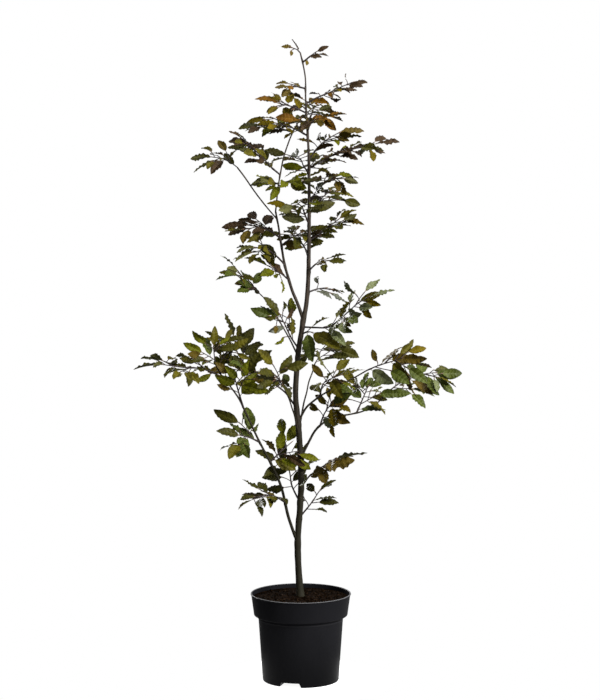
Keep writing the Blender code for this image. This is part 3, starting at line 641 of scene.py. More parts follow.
def leaf_solid(frame, length, grow=0.0):
    """Closed folded and waved leaf, thickest on its midrib, with its root sunk in the twig."""
    turn, root = frame
    half = length * LEAF_HALF_WIDTH + grow
    thick = length * LEAF_THICK / 2 + grow
    start = length * LEAF_GUARD_FROM if grow else 0.0
    width = LEAF_ROOT + grow
    local = [(start, 0, width), (start, width, -width), (start, -width, -width)]
    for sign in (1, -1):
        for i, (share, wide) in enumerate(LEAF_OUTLINE):
            wave = LEAF_WAVE * length * (1 if (i % 2 == 0) == (sign > 0) else -1)
            lift = LEAF_FOLD * length * wide - LEAF_ARCH * length * share**2 + wave
            local.append((length * share, sign * half * wide, lift))
    local.append((length + grow, 0, -LEAF_ARCH * length))
    middle = -LEAF_ARCH * length * LEAF_MIDDLE**2
    local.append((length * LEAF_MIDDLE, 0, middle + thick))
    local.append((length * LEAF_MIDDLE, 0, middle - thick))
    top, left_root, right_root, tip, above, below = 0, 1, 2, 7, 8, 9
    left, right = (3, 4), (5, 6)
    faces = [(top, left_root, right_root)]
    faces += [(top, left[0], left_root), (top, above, left[0]), (left_root, left[0], below)]
    faces += [(top, right_root, right[0]), (top, right[0], above), (right_root, below, right[0])]
    faces += [(left_root, below, right_root)]
    for a, b in ((left[0], left[1]), (left[1], tip)):
        faces += [(above, b, a), (below, a, b)]
    for a, b in ((right[0], right[1]), (right[1], tip)):
        faces += [(above, a, b), (below, b, a)]
    verts = [root + turn @ Vector(p) for p in local]
    return verts, faces


plain_leaf = leaf_solid((Matrix.Identity(4), Vector()), 0.06)
print("plain leaf:", len(plain_leaf[0]), "points,", len(plain_leaf[1]), "faces")


# %% [markdown]
# ## Keeping what already stands
#
# Every twig and leaf that has grown is kept with its box and its tree of faces. Testing all
# pairs of faces would be slow, so boxes that lie apart are passed over first, and only near
# neighbours are tested face by face. A new twig is tested a little fatter than it is, so
# that some air stays between neighbours.

# %% Space
def box_of(verts):
    """Lowest and highest corner of some points."""
    columns = list(zip(*verts))
    return [min(column) for column in columns], [max(column) for column in columns]


class Space:
    """What already stands: a new twig or leaf keeps clear of all of it."""

    def __init__(self):
        self.taken = []

    def add(self, solid, owner):
        low, high = box_of(solid[0])
        self.taken.append((low, high, BVHTree.FromPolygons(*solid), owner))

    def clear(self, solid, parents):
        """Whether a solid touches nothing but its own parents."""
        low, high = box_of(solid[0])
        tree = None
        for other_low, other_high, other, owner in self.taken:
            if any(owner is parent for parent in parents):
                continue
            if any(low[k] > other_high[k] or high[k] < other_low[k] for k in range(3)):
                continue
            tree = tree or BVHTree.FromPolygons(*solid)
            if tree.overlap(other):
                return False
        return True


def grown(limb, extra, skip):
    """The same limb a little fatter, without its first stretch, to test clearance with."""
    head = limb.points[0].lerp(limb.points[1], skip)
    return Limb([head] + limb.points[1:], [r + extra for r in limb.radii], limb.sides)


def plane_normal(axis, turn, gaze):
    """Normal of a spray: up when level, towards the gaze heading when it is turned."""
    up = Vector((0, 0, 1))
    face = direction(gaze, 0)
    blend = up * math.cos(math.radians(turn)) + face * math.sin(math.radians(turn))
    return (blend - axis * blend.dot(axis)).normalized()


def turned(vector, about, degrees):
    """A direction turned about an axis."""
    return Matrix.Rotation(math.radians(degrees), 3, about) @ vector


# %% [markdown]
# ## Leaves and twigs of a spray
#
# Beech sets its leaves in two rows, left and right in turn, with one at the end of the
# twig. The fan's plane gives each leaf its upper side, and a little chance turns it. The
# random draws come in the same order as in the measured tree, so these leaves are its own.

# %% Leaves of a twig
class Leaf:
    """A placed leaf: its frame, its length and the shoot that bears it."""

    def __init__(self, frame, size, shoot):
        self.frame = frame
        self.size = size
        self.shoot = shoot


def try_leaf(frame, size, shoot, space, owner):
    """The leaf if it and a little room round it are free."""
    solid = leaf_solid(frame, size)
    guard = leaf_solid(frame, size, GUARD)
    if space.clear(solid, (shoot,)) and space.clear(guard, (shoot,)):
        space.add(solid, owner)
        return Leaf(frame, size, shoot)
    return None


def leaf_attitude(ahead, normal, angle, rng):
    """Direction and upper side of a leaf at an angle to its twig, drooping a little."""
    axis = turned(ahead, normal, angle)
    axis.z -= math.sin(math.radians(rng.uniform(0.0, LEAF_DROOP)))
    axis.normalize()
    facing = turned(normal, axis, rng.gauss(0, LEAF_JITTER))
    return axis, (facing - axis * facing.dot(axis)).normalized()


def grow_leaves(twig, normal, leaf_length, bare, space, owner, rng):
    """Leaves in two rows along a twig and one at its end."""
    leaves = []
    reach = twig.length()
    first = reach * bare
    count = max(1, round((reach - first) / LEAF_SPACING))
    for i in range(count + 1):
        point, ahead, _ = twig.at((first + (reach - END_LEAF_SUNK - first) * i / count) / reach)
        last = i == count
        side = 1 if i % 2 else -1
        size = leaf_length * rng.uniform(*LEAF_SIZES)
        for _ in range(TRIES):
            angle = side * LEAF_ANGLE * rng.uniform(*LEAF_SPREAD)
            if last:
                angle = rng.uniform(-END_LEAF_TURN, END_LEAF_TURN)
            axis, facing = leaf_attitude(ahead, normal, angle, rng)
            leaf = try_leaf(leaf_frame(point, axis, facing), size, twig, space, owner)
            if leaf:
                leaves.append(leaf)
                break
    return leaves


# %% [markdown]
# ## Side twigs
#
# On the tree a side twig forks off its stem at a slant and then bends level towards the
# light. It is walked like any limb; here its rise is cut down towards its end, which is
# simpler than aiming it at the light.

# %% Side twigs
def grow_twig(start, axis, length, rng):
    """A side twig that sets out along an axis and flattens a little towards its end."""
    heading = math.degrees(math.atan2(axis.y, axis.x))
    rise = math.degrees(math.asin(max(-1.0, min(1.0, axis.z))))
    rises = (rise, rise * TWIG_FLATTENS)
    points = walk(start, heading, rises, length, TWIG_STEP, TWIG_SWAY, rng)
    count = len(points) - 1
    radii = [along((TWIG_RADIUS, TWIG_END_RADIUS), i / count) for i in range(count + 1)]
    return Limb(points, radii, TWIG_SIDES)


def try_twig(point, axis, size, stem, space, rng):
    """The side twig if it and a little room round it are free."""
    twig = grow_twig(point, axis, size, rng)
    guard = tube(grown(twig, GUARD, TWIG_GUARD_FROM))
    if space.clear(tube(twig), (stem,)) and space.clear(guard, (stem,)):
        space.add(tube(twig), twig)
        return twig
    return None


# %% [markdown]
# ## One spray
#
# A spray is a stem on its carrier, side twigs left and right of the stem, and the leaves of
# all of them. What finds no room after a few tries is left out, as a shaded bud would be.

# %% Sprays
class Spray:
    """Stem, side twigs and leaves of one mass of foliage."""

    def __init__(self, row):
        self.name = row[0]
        self.leaf_length = row[9]
        self.turn = row[10]
        self.seed = row[11]
        self.gaze = FRONT
        self.shoots = []
        self.leaves = []


def grow_spray(row, space):
    """Grows the spray of one row of the table."""
    spray = Spray(row)
    name, carrier, place, heading, rises, length, bare = row[:7]
    twig_count, twig_length, leaf_length, turn, seed = row[7:]
    rng = random.Random(seed)
    base, share = limbs[carrier], base_share(carrier, place)
    radii = (base.radii[-1] if place == 1.0 else STEM_RADIUS, TWIG_END_RADIUS)
    for _ in range(TRIES):
        stem = grow_limb(
            base, share, heading, rises, length, radii, TWIG_SIDES, TWIG_STEP, TWIG_SWAY, rng
        )
        if space.clear(tube(stem), ()):
            break
    stem.root = base.at(share)[0]
    space.add(tube(stem), stem)
    spray.shoots.append(stem)
    spray.gaze = FRONT + rng.uniform(-FRONT_SPREAD, FRONT_SPREAD)
    for k in range(twig_count):
        part = bare + (TWIGS_END - bare) * (k + 0.5) / twig_count
        point, ahead, _ = stem.at(part)
        normal = plane_normal(ahead, turn, spray.gaze)
        side = 1 if k % 2 else -1
        for _ in range(TRIES):
            axis = turned(ahead, normal, side * FORK_ANGLE * rng.uniform(*FORK_SPREAD))
            axis = turned(axis, ahead, rng.uniform(-TWIG_ROLL, TWIG_ROLL))
            size = twig_length * (TWIG_AT_FOOT - TWIG_LOST_BY_TIP * part) * rng.uniform(*TWIG_SIZES)
            twig = try_twig(point, axis, size, stem, space, rng)
            if twig:
                spray.shoots.append(twig)
                break
    for shoot in spray.shoots:
        _, ahead, _ = shoot.at(0.5)
        normal = plane_normal(ahead, turn, spray.gaze)
        free = bare if shoot is stem else BARE_TWIG
        spray.leaves += grow_leaves(shoot, normal, leaf_length, free, space, name, rng)
    return spray


# %% [markdown]
# ## Growing the whole crown
#
# A young tree is one leader with boughs on it. The trunk's line comes from measured points,
# because the photo shows it whole; the boughs are walked by the rule from their measured
# place, heading and length. Each limb is noted on its carrier, for the collars of the bark.

# %% Trunk and boughs
def trunk_limb():
    """The trunk's line, read smoothly from its tables."""
    foot, tip = TRUNK_BENDS[0][0], TRUNK_BENDS[-1][0]
    points, radii = [], []
    for i in range(TRUNK_RINGS + 1):
        share = i / TRUNK_RINGS
        height = foot + (tip - foot) * share
        x, y = smooth_row(TRUNK_BENDS, height)
        points.append(Vector((x, y, height)))
        radii.append(smooth_row(TRUNK_RADII, height)[0])
    return Limb(points, radii, TRUNK_SIDES, (points[0], Vector((0, 0, 1))))


def base_share(carrier, place):
    """Share of a carrier's length; on the trunk a place is given as a height."""
    on_trunk = carrier == "trunk" and place != 1.0
    return limbs[carrier].share_at_height(place) if on_trunk else place


space = Space()
limbs = {"trunk": trunk_limb()}
space.add(tube(limbs["trunk"]), "trunk")
# Branches on each limb: share of its length, direction, radius
joints_on = {"trunk": []}
for i, (name, carrier, place, heading, rises, length, foot) in enumerate(BOUGHS):
    base, share = limbs[carrier], base_share(carrier, place)
    radii = (foot, foot * (1 + TIP_SHARE) / 2, max(foot * TIP_SHARE, TWIG_RADIUS))
    rng = random.Random(i)
    bough = grow_limb(
        base, share, heading, rises, length, radii, BOUGH_SIDES, BOUGH_STEP, BOUGH_SWAY, rng
    )
    bough.root = base.at(share)[0]
    space.add(tube(bough), name)
    limbs[name] = bough
    joints_on[name] = []
    joints_on[carrier].append((share, bough.points[1] - bough.points[0], foot))

print("limbs:", ", ".join(limbs))

# %% [markdown]
# ## Growing the sprays
#
# The masses of foliage hang on the limbs that now stand. They grow in the table's order,
# because what grows first takes the room. Each one's place on its carrier is noted, so
# that the bark can swell into a collar there.

# %% Sprays of the crown
sprays = []
for row in SPRAYS:
    spray = grow_spray(row, space)
    sprays.append(spray)
    carrier, place = row[1:3]
    if place != 1.0:
        stem = spray.shoots[0]
        away = stem.points[1] - stem.points[0]
        joints_on[carrier].append((base_share(carrier, place), away, STEM_RADIUS))
print("sprays:", len(sprays), "leaves:", sum(len(spray.leaves) for spray in sprays))

# %% [markdown]
# ## Finer twigs
#
# The measured tree's leaves are fewer than the real one's. Between them the same rule goes on:
# every shoot puts out short spurs, each with a leaf or two and a bud, as long as they
# find room. The spurs stay within the reach of their own spray.

# %% Spurs
SPUR_SPACING = 0.0095
SPUR_LENGTH = (0.008, 0.026)
SPUR_ANGLE = (38.0, 80.0)
SPUR_LEAF = (0.70, 1.05)
SPUR_CHANCE = 0.85
SPUR_ROLL = 32.0
SPUR_RADIUS = 0.0008
# Where spurs stand along a shoot, and how far chance shifts each within its own stretch
SPURS_START = 0.20
SPURS_REACH = 0.78
SPUR_SHIFT = (0.2, 0.8)
SPUR_LEAF_PLACE = 0.95
SPUR_LEAF_TURN = 20.0
# A real blade fills this much of the length that its plain leaf keeps free
BLADE_SIZES = (0.90, 1.08)


def grow_spurs(spray, space):
    """Short shoots with a leaf each, wherever a spray's shoots have room for them."""
    rng = random.Random(spray.seed * 7 + len(spray.name))
    for shoot in list(spray.shoots):
        reach = shoot.length()
        count = int(reach / SPUR_SPACING)
        _, middle, _ = shoot.at(0.5)
        normal = plane_normal(middle, spray.turn, spray.gaze)
        for k in range(count):
            part = SPURS_START + SPURS_REACH * (k + rng.uniform(*SPUR_SHIFT)) / count
            if rng.random() > SPUR_CHANCE:
                continue
            point, ahead, _ = shoot.at(part)
            side = 1 if k % 2 else -1
            for _ in range(TRIES):
                axis = turned(ahead, normal, side * rng.uniform(*SPUR_ANGLE))
                axis = turned(axis, ahead, rng.uniform(-TWIG_ROLL, TWIG_ROLL))
                spur = try_twig(point, axis, rng.uniform(*SPUR_LENGTH), shoot, space, rng)
                if not spur:
                    continue
                spur.radii = [SPUR_RADIUS] * len(spur.radii)
                end, along_spur, _ = spur.at(SPUR_LEAF_PLACE)
                size = spray.leaf_length * rng.uniform(*SPUR_LEAF)
                angle = rng.uniform(-SPUR_LEAF_TURN, SPUR_LEAF_TURN)
                axis, facing = leaf_attitude(along_spur, normal, angle, rng)
                facing = turned(facing, axis, rng.gauss(0, SPUR_ROLL))
                leaf = try_leaf(leaf_frame(end, axis, facing), size, spur, space, spray.name)
                if leaf:
                    spray.shoots.append(spur)
                    spray.leaves.append(leaf)
                    break
                space.taken.pop()


for spray in sprays:
    grow_spurs(spray, space)
    rng = random.Random(spray.seed * 3 + 1)
    for leaf in spray.leaves:
        leaf.size *= rng.uniform(*BLADE_SIZES)
leaf_count = sum(len(spray.leaves) for spray in sprays)
shoot_count = sum(len(spray.shoots) for spray in sprays)
print("with spurs:", leaf_count, "leaves on", shoot_count, "shoots")

# %% [markdown]
# ## From lines to skins
#
# A walked limb has a bend every few centimetres. A curve through its points rounds the
# bends, and a ring of points swept along it makes the skin. Blender's curves could make a
# plain tube, but this ring may swell at any place, which is how collars, flares and bark
# relief come in.

# %% Lines and skins
def rounded(limb, step, fuller=1.0):
    """Points and radii along a limb, on a smooth curve through its bends."""
    points, radii = limb.points, limb.radii
    last = len(points) - 1
    line = []
    for i in range(last):
        before, start = points[max(i - 1, 0)], points[i]
        end, after = points[i + 1], points[min(i + 2, last)]
        count = max(1, round((end - start).length / step))
        for k in range(count):
            t = k / count
            spot = 0.5 * (
                2 * start
                + (end - before) * t
                + (2 * before - 5 * start + 4 * end - after) * t**2
                + (3 * start - before - 3 * end + after) * t**3
            )
            line.append((spot, (radii[i] + (radii[i + 1] - radii[i]) * t) * fuller))
    line.append((points[last].copy(), radii[last] * fuller))
    return line


def skin(line, sides, swell=None):
    """Closed tube along a line of points and radii."""
    verts, faces = [], []
    across = None
    last = len(line) - 1
    for i, (point, radius) in enumerate(line):
        ahead = (line[min(i + 1, last)][0] - line[max(i - 1, 0)][0]).normalized()
        if across is None:
            across = ahead.orthogonal()
        across = (across - ahead * across.dot(ahead)).normalized()
        beside = ahead.cross(across)
        for k in range(sides):
            angle = 2 * math.pi * k / sides
            out = across * math.cos(angle) + beside * math.sin(angle)
            reach = radius * swell(point, out, radius, i / last) if swell else radius
            verts.append(point + out * reach)
    for i in range(last):
        for k in range(sides):
            low, high, nxt = i * sides, (i + 1) * sides, (k + 1) % sides
            faces.append((low + k, low + nxt, high + nxt, high + k))
    faces.append(tuple(reversed(range(sides))))
    faces.append(tuple(range(last * sides, (last + 1) * sides)))
    return verts, faces


# %% [markdown]
# ## Gathering skins into pieces
#
# Hundreds of loose twigs and leaves would be slow to handle. A bundle gathers them into one
# mesh, with a finish for each face and marks for the shader on each point. Each piece then
# hides the solids of the measured tree that it stands for, and moves with the tree.

# %% Bundles
class Bundle:
    """Many small skins gathered into one mesh."""

    def __init__(self):
        self.verts = []
        self.faces = []
        self.slots = []
        self.marks = {}

    def add(self, verts, faces, slot=0, **marks):
        start = len(self.verts)
        self.verts += verts
        self.faces += [tuple(start + k for k in face) for face in faces]
        self.slots += slot if isinstance(slot, list) else [slot] * len(faces)
        for name, values in marks.items():
            self.marks.setdefault(name, []).extend(values)

    def piece(self, name, finishes, sharp=40.0):
        """The bundle as an object, shaded smooth but for edges sharper than an angle."""
        mesh = bpy.data.meshes.new(name)
        mesh.from_pydata(self.verts, [], self.faces)
        for finish in finishes:
            mesh.materials.append(finish.material)
        mesh.polygons.foreach_set("material_index", self.slots)
        for mark, values in self.marks.items():
            mesh.attributes.new(mark, "FLOAT", "POINT").data.foreach_set("value", values)
        mesh.shade_smooth()
        mesh.set_sharp_from_angle(angle=math.radians(sharp))
        thing = bpy.data.objects.new(name, mesh)
        bpy.context.scene.collection.objects.link(thing)
        return thing


def stands_for(thing, slot, *nodes):
    """The piece moves with the tree and stands for solids, which it hides; slot is not used."""
    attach(thing, "root")
    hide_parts(*nodes)


# %% [markdown]
# ## Bark of a young beech
#
# Young beech bark is thin and smooth. Low on the trunk it is dark and a little green, and it
# gets paler and browner up the leader and the boughs; the darkening towards the foot is
# partly the bark's own tone and partly painted shade. It has fine upright streaks and small
# pale pores. An image would show seams on so many limbs, so the colour is worked out from
# each point's place: stretched noise for the streaks, and scattered points, wider than
# high, for the pores, which also stand out in the relief.

# %% Bark finish
# The foot's tones: the bark's own dark tone with painted shade in it
FOOT_DARK_AND_SHADE = (0.0042, 0.0033, 0.0020)
FOOT_BROWN_AND_SHADE = (0.0165, 0.0128, 0.0078)
YOUNG_DARK = (0.018, 0.013, 0.010)
YOUNG_BROWN = (0.070, 0.052, 0.038)
BARK_GREEN = (0.015, 0.0135, 0.0052)
PORE_PALE = (0.070, 0.056, 0.040)
# Heights between which the dark foot, partly painted shade, turns into young wood
YOUNG_AND_UNSHADED_FROM, YOUNG_AND_UNSHADED_TO = 0.30, 0.95
STREAK_SHAPE = (1.0, 1.0, 0.14)
PATCH_SHAPE = (1.0, 1.0, 0.45)
PORE_SHAPE = (0.55, 0.55, 1.35)


def bark_finish():
    bark = Finish("beech_bark", Specular_IOR_Level=0.20)
    place = bark.place()
    streaks = bark.mottle(bark.stretched(place, STREAK_SHAPE), 260.0, 5.0, 0.65)
    patches = bark.mottle(bark.stretched(place, PATCH_SHAPE), 42.0)
    pores = 1 - bark.between(bark.spots(bark.stretched(place, PORE_SHAPE), 230.0), 0.10, 0.26)
    shown = pores * bark.between(bark.mottle(place, 75.0), 0.50, 0.62)
    up = bark.height(place)
    green = bark.between(patches - up * 0.42, -0.05, 0.30)
    # Darker towards the foot: partly the bark's own tone, partly painted shade
    young_and_unshaded = bark.between(up, YOUNG_AND_UNSHADED_FROM, YOUNG_AND_UNSHADED_TO)
    dark = bark.blend(young_and_unshaded, FOOT_DARK_AND_SHADE, YOUNG_DARK)
    brown = bark.blend(young_and_unshaded, FOOT_BROWN_AND_SHADE, YOUNG_BROWN)
    base = bark.blend(bark.between(streaks, 0.30, 0.70), dark, brown)
    base = bark.blend(green * 0.75, base, BARK_GREEN)
    bark.paint(bark.blend(shown * 0.8, base, PORE_PALE), 0.52 + streaks * 0.30)
    bark.relief(streaks * 0.6 + shown * 0.8 + patches * 0.5, 0.55, 0.0010)
    return bark


beech_bark = bark_finish()
print("finish:", beech_bark.material.name)

# %% [markdown]
# ## Trunk and boughs with their relief
#
# The skin of a living stem is never a plain cone. It swells into a collar under each branch,
# flares where it enters the soil, and carries shallow ribs and lumps. Each of these
# is a swelling of the ring; the foot of a bough starts inside its carrier, so the collar
# closes round it.

# %% Swellings of the bark
RIB_DEPTH = 0.045
RIB_GRAIN = (210, 210, 26)
LUMP_DEPTH = 0.075
LUMP_GRAIN = (55, 55, 38)
COLLAR_SWELL = 0.60
# A collar's width for its branch's radius, and what is added to it
COLLAR_WIDTH = 2.2
COLLAR_MARGIN = 0.003
COLLAR_ALL_ROUND = 0.25
# A bell curve is as good as nothing this many widths away
BELL_ENDS = 3
FLARE_HEIGHT = 0.016
FLARE_SWELL = 0.16
FLARE_ROOTS = 3


def grain(spot, scales):
    """Noise stretched by a scale in each direction."""
    return noise.noise(Vector([place * scale for place, scale in zip(spot, scales)]))


def bark_swell(limb, collars, flare):
    """How the ring swells: lumps, ribs, collars under branches, and the flare at the foot."""
    length = limb.length()

    def swell(point, out, radius, share):
        spot = point + out * radius
        size = 1 + RIB_DEPTH * grain(spot, RIB_GRAIN) + LUMP_DEPTH * grain(spot, LUMP_GRAIN)
        for at, toward, foot in collars:
            away = (share - at) * length
            width = COLLAR_WIDTH * foot + COLLAR_MARGIN
            if abs(away) < BELL_ENDS * width:
                facing = max(0.0, out.dot(toward.normalized())) + COLLAR_ALL_ROUND
                size += COLLAR_SWELL * foot / radius * facing * math.exp(-(away / width) ** 2)
        if flare:
            rise = max(0.0, point.z - TRUNK_BENDS[0][0])
            lobes = 0.7 + 0.3 * math.cos(FLARE_ROOTS * math.atan2(out.y, out.x) + 1.0)
            size += FLARE_SWELL * lobes * math.exp(-rise / FLARE_HEIGHT)
        return size

    return swell


# %% [markdown]
# ## One skin for each limb
#
# The trunk and each bough are a skin of rings along the rounded line. One joined skin would
# need welding at every fork, so each limb stays a piece of its own and simply starts
# inside its carrier. The trunk goes on a little way under the peat, where no gap can show.

# %% Trunk and bough pieces
BARK_STEP = 0.0035
TRUNK_RING = 28
BOUGH_RING = 16
# How far the trunk goes on under the peat
SUNK = 0.006
THINNEST = 0.0019

for name, limb in limbs.items():
    flare = name == "trunk"
    line = [(point, max(radius, THINNEST)) for point, radius in rounded(limb, BARK_STEP)]
    if flare:
        foot = line[0][0]
        line.insert(0, (foot - Vector((0, 0, SUNK)), line[0][1]))
    else:
        line.insert(0, (limb.root.lerp(line[0][0], 0.4), line[0][1] * 1.1))
    wood = Bundle()
    ring = TRUNK_RING if flare else BOUGH_RING
    wood.add(*skin(line, ring, bark_swell(limb, joints_on[name], flare)))
    bark_piece = wood.piece(name + "_bark", [beech_bark])
    stands_for(bark_piece, "bark", name)
    print(bark_piece.name, len(wood.faces), "faces")

# %% [markdown]
# ## Twigs, leaf stalks and buds
#
# Beech twigs are thin, dark and red-brown, a little thicker at each leaf, and end in the
# long pointed buds that tell a beech from any other tree. The leaf stalk is short, greener
# and bends from the twig to the blade. Twigs, stalks and buds each have a finish.

# %% Twig, stalk and bud finishes
TWIG_DARK = (0.010, 0.0062, 0.0056)
TWIG_RED = (0.032, 0.018, 0.015)
STALK_RED = (0.080, 0.036, 0.020)
STALK_GREEN = (0.080, 0.070, 0.020)
BUD_DARK = (0.075, 0.034, 0.018)
BUD_PALE = (0.200, 0.120, 0.065)


def twig_finish():
    twig = Finish("red_brown_twig", Specular_IOR_Level=0.35)
    place = twig.place()
    streaks = twig.mottle(place, 170.0, 4.0)
    grain = twig.mottle(place, 900.0, 2.0)
    tone = twig.blend(twig.between(streaks, 0.35, 0.65), TWIG_DARK, TWIG_RED)
    twig.paint(tone, 0.42 + grain * 0.25)
    twig.relief(grain, 0.35, 0.0004)
    return twig


def stalk_finish():
    stalk = Finish("leaf_stalk", Specular_IOR_Level=0.35)
    blush = stalk.mottle(stalk.place(), 120.0)
    tone = stalk.blend(stalk.between(blush, 0.40, 0.60), STALK_RED, STALK_GREEN)
    stalk.paint(tone, 0.40 + blush * 0.2)
    return stalk


def bud_finish():
    bud = Finish("pointed_bud", Specular_IOR_Level=0.40)
    scales = bud.mottle(bud.stretched(bud.place(), (1.0, 1.0, 0.6)), 520.0, 2.0)
    tone = bud.blend(bud.between(scales, 0.42, 0.60), BUD_DARK, BUD_PALE)
    bud.paint(tone, 0.35 + scales * 0.25)
    bud.relief(scales, 0.4, 0.0003)
    return bud


twig_finishes = [twig_finish(), stalk_finish(), bud_finish()]
# Places of these finishes in the list
ON_TWIG, ON_STALK, ON_BUD = range(3)
print("finishes:", [finish.material.name for finish in twig_finishes])

# %% [markdown]
# ## Shapes of stalk and bud
#
# A bud is a slim spindle, widest a third of the way up. A stalk is a short thin skin from
# the twig's middle to where the blade begins.

# %% Bud and stalk shapes
# Share of a leaf's length that is its stalk
BLADE_START = 0.11
# How far the stalk reaches into the blade
STALK_OVERLAP = 0.02
STALK_RADII = (0.00100, 0.00070)
STALK_STEPS = 3
SMALL_RING = 5
BUD_RING = 6
# Bud: share of its length, share of its greatest radius
BUD_PROFILE = ((0.0, 0.55), (0.16, 0.92), (0.36, 1.0), (0.64, 0.72), (0.86, 0.34), (1.0, 0.06))


def bud_skin(foot, ahead, length, radius):
    line = [(foot + ahead * (length * far), radius * wide) for far, wide in BUD_PROFILE]
    return skin(line, BUD_RING)


def on_arch(leaf, share, y, z, twist=0.0):
    """A place on the leaf: a share of its length, sideways and up, on its drooping arch."""
    turn, root = leaf.frame
    angle = twist * share
    side = y * math.cos(angle) - z * math.sin(angle)
    lift = y * math.sin(angle) + z * math.cos(angle)
    return root + turn @ Vector((leaf.size * share, side, lift - LEAF_ARCH * leaf.size * share**2))


def stalk_skin(leaf):
    line = []
    for k in range(STALK_STEPS + 1):
        far = (BLADE_START + STALK_OVERLAP) * k / STALK_STEPS
        radius = STALK_RADII[0] + (STALK_RADII[1] - STALK_RADII[0]) * k / STALK_STEPS
        line.append((on_arch(leaf, far, 0, 0), radius))
    return skin(line, SMALL_RING)


# %% [markdown]
# ## Dressing every spray with twigs
#
# The sprays are gathered into six parts of the crown, so that each joined piece stays light.
# At each leaf the twig is a little thicker and carries a small bud; each shoot ends in a
# long one.

# %% Twig pieces
# Part of the crown: the words in its sprays' names
CROWN_PARTS = {
    "top": ("tip", "top", "crest", "shoulder"),
    "upper": ("upper", "middle", "inner"),
    "fork": ("fork",),
    "left": ("left",),
    "right": ("right",),
    "low": ("low", "front", "back"),
}
# The measured tree's twigs are drawn a little too thin
TWIG_FULLER = 1.4
TWIG_FOOT_FULLER = 1.25
TWIG_RING = 7
TWIG_RING_STEP = 0.006
TWIG_LUMPS = 0.08
TWIG_LUMP_GRAIN = 300
NODE_SWELL = 0.28
NODE_WIDTH = 0.0022
END_BUD = (0.009, 0.014)
END_BUD_SUNK = 0.001
SIDE_BUD = (0.004, 0.007)
SIDE_BUD_FULLER = 1.2
# A side bud's lean towards its leaf, and how far out of the twig's middle it starts
SIDE_BUD_LEAN = 0.6
SIDE_BUD_OUT = 0.4
BUD_SLIM = 0.105


def crown_part(spray):
    """The part of the crown that a spray's name puts it in."""
    word = spray.name.split("_")[1]
    return next(part for part, words in CROWN_PARTS.items() if word in words)


def twig_swell(nodes):
    """How a twig's ring swells: a little unevenly, and more where leaves stand."""

    def swell(point, out, radius, share):
        size = 1 + TWIG_LUMPS * noise.noise(point * TWIG_LUMP_GRAIN)
        for node in nodes:
            away = (point - node).length
            if away < BELL_ENDS * NODE_WIDTH:
                size += NODE_SWELL * math.exp(-(away / NODE_WIDTH) ** 2)
        return size

    return swell


def add_shoot(bundle, shoot, nodes, rng):
    line = rounded(shoot, TWIG_RING_STEP, TWIG_FULLER)
    if shoot.seat:
        line.insert(0, (shoot.root, line[0][1] * TWIG_FOOT_FULLER))
    bundle.add(*skin(line, TWIG_RING, twig_swell(nodes)), slot=ON_TWIG)
    end = line[-1][0]
    ahead = (end - line[-2][0]).normalized()
    length = rng.uniform(*END_BUD)
    foot = end - ahead * END_BUD_SUNK
    bundle.add(*bud_skin(foot, ahead, length, length * BUD_SLIM), slot=ON_BUD)


def add_leaf_foot(bundle, leaf, rng):
    bundle.add(*stalk_skin(leaf), slot=ON_STALK)
    turn, root = leaf.frame
    _, ahead, radius = leaf.shoot.at(0.9)
    axil = (ahead + turn.col[0].xyz * SIDE_BUD_LEAN).normalized()
    length = rng.uniform(*SIDE_BUD)
    foot = root + axil * radius * SIDE_BUD_OUT
    bud = bud_skin(foot, axil, length, length * BUD_SLIM * SIDE_BUD_FULLER)
    bundle.add(*bud, slot=ON_BUD)


crown = {part: [s for s in sprays if crown_part(s) == part] for part in CROWN_PARTS}
for part, chosen in crown.items():
    bundle = Bundle()
    rng = random.Random(part)
    for spray in chosen:
        for shoot in spray.shoots:
            nodes = [leaf.frame[1] for leaf in spray.leaves if leaf.shoot is shoot]
            add_shoot(bundle, shoot, nodes, rng)
        for leaf in spray.leaves:
            add_leaf_foot(bundle, leaf, rng)
    twigs = bundle.piece("twigs_" + part, twig_finishes)
    stands_for(twigs, "leafy_twigs", *[spray.name for spray in chosen])
    print(twigs.name, len(bundle.faces), "faces")
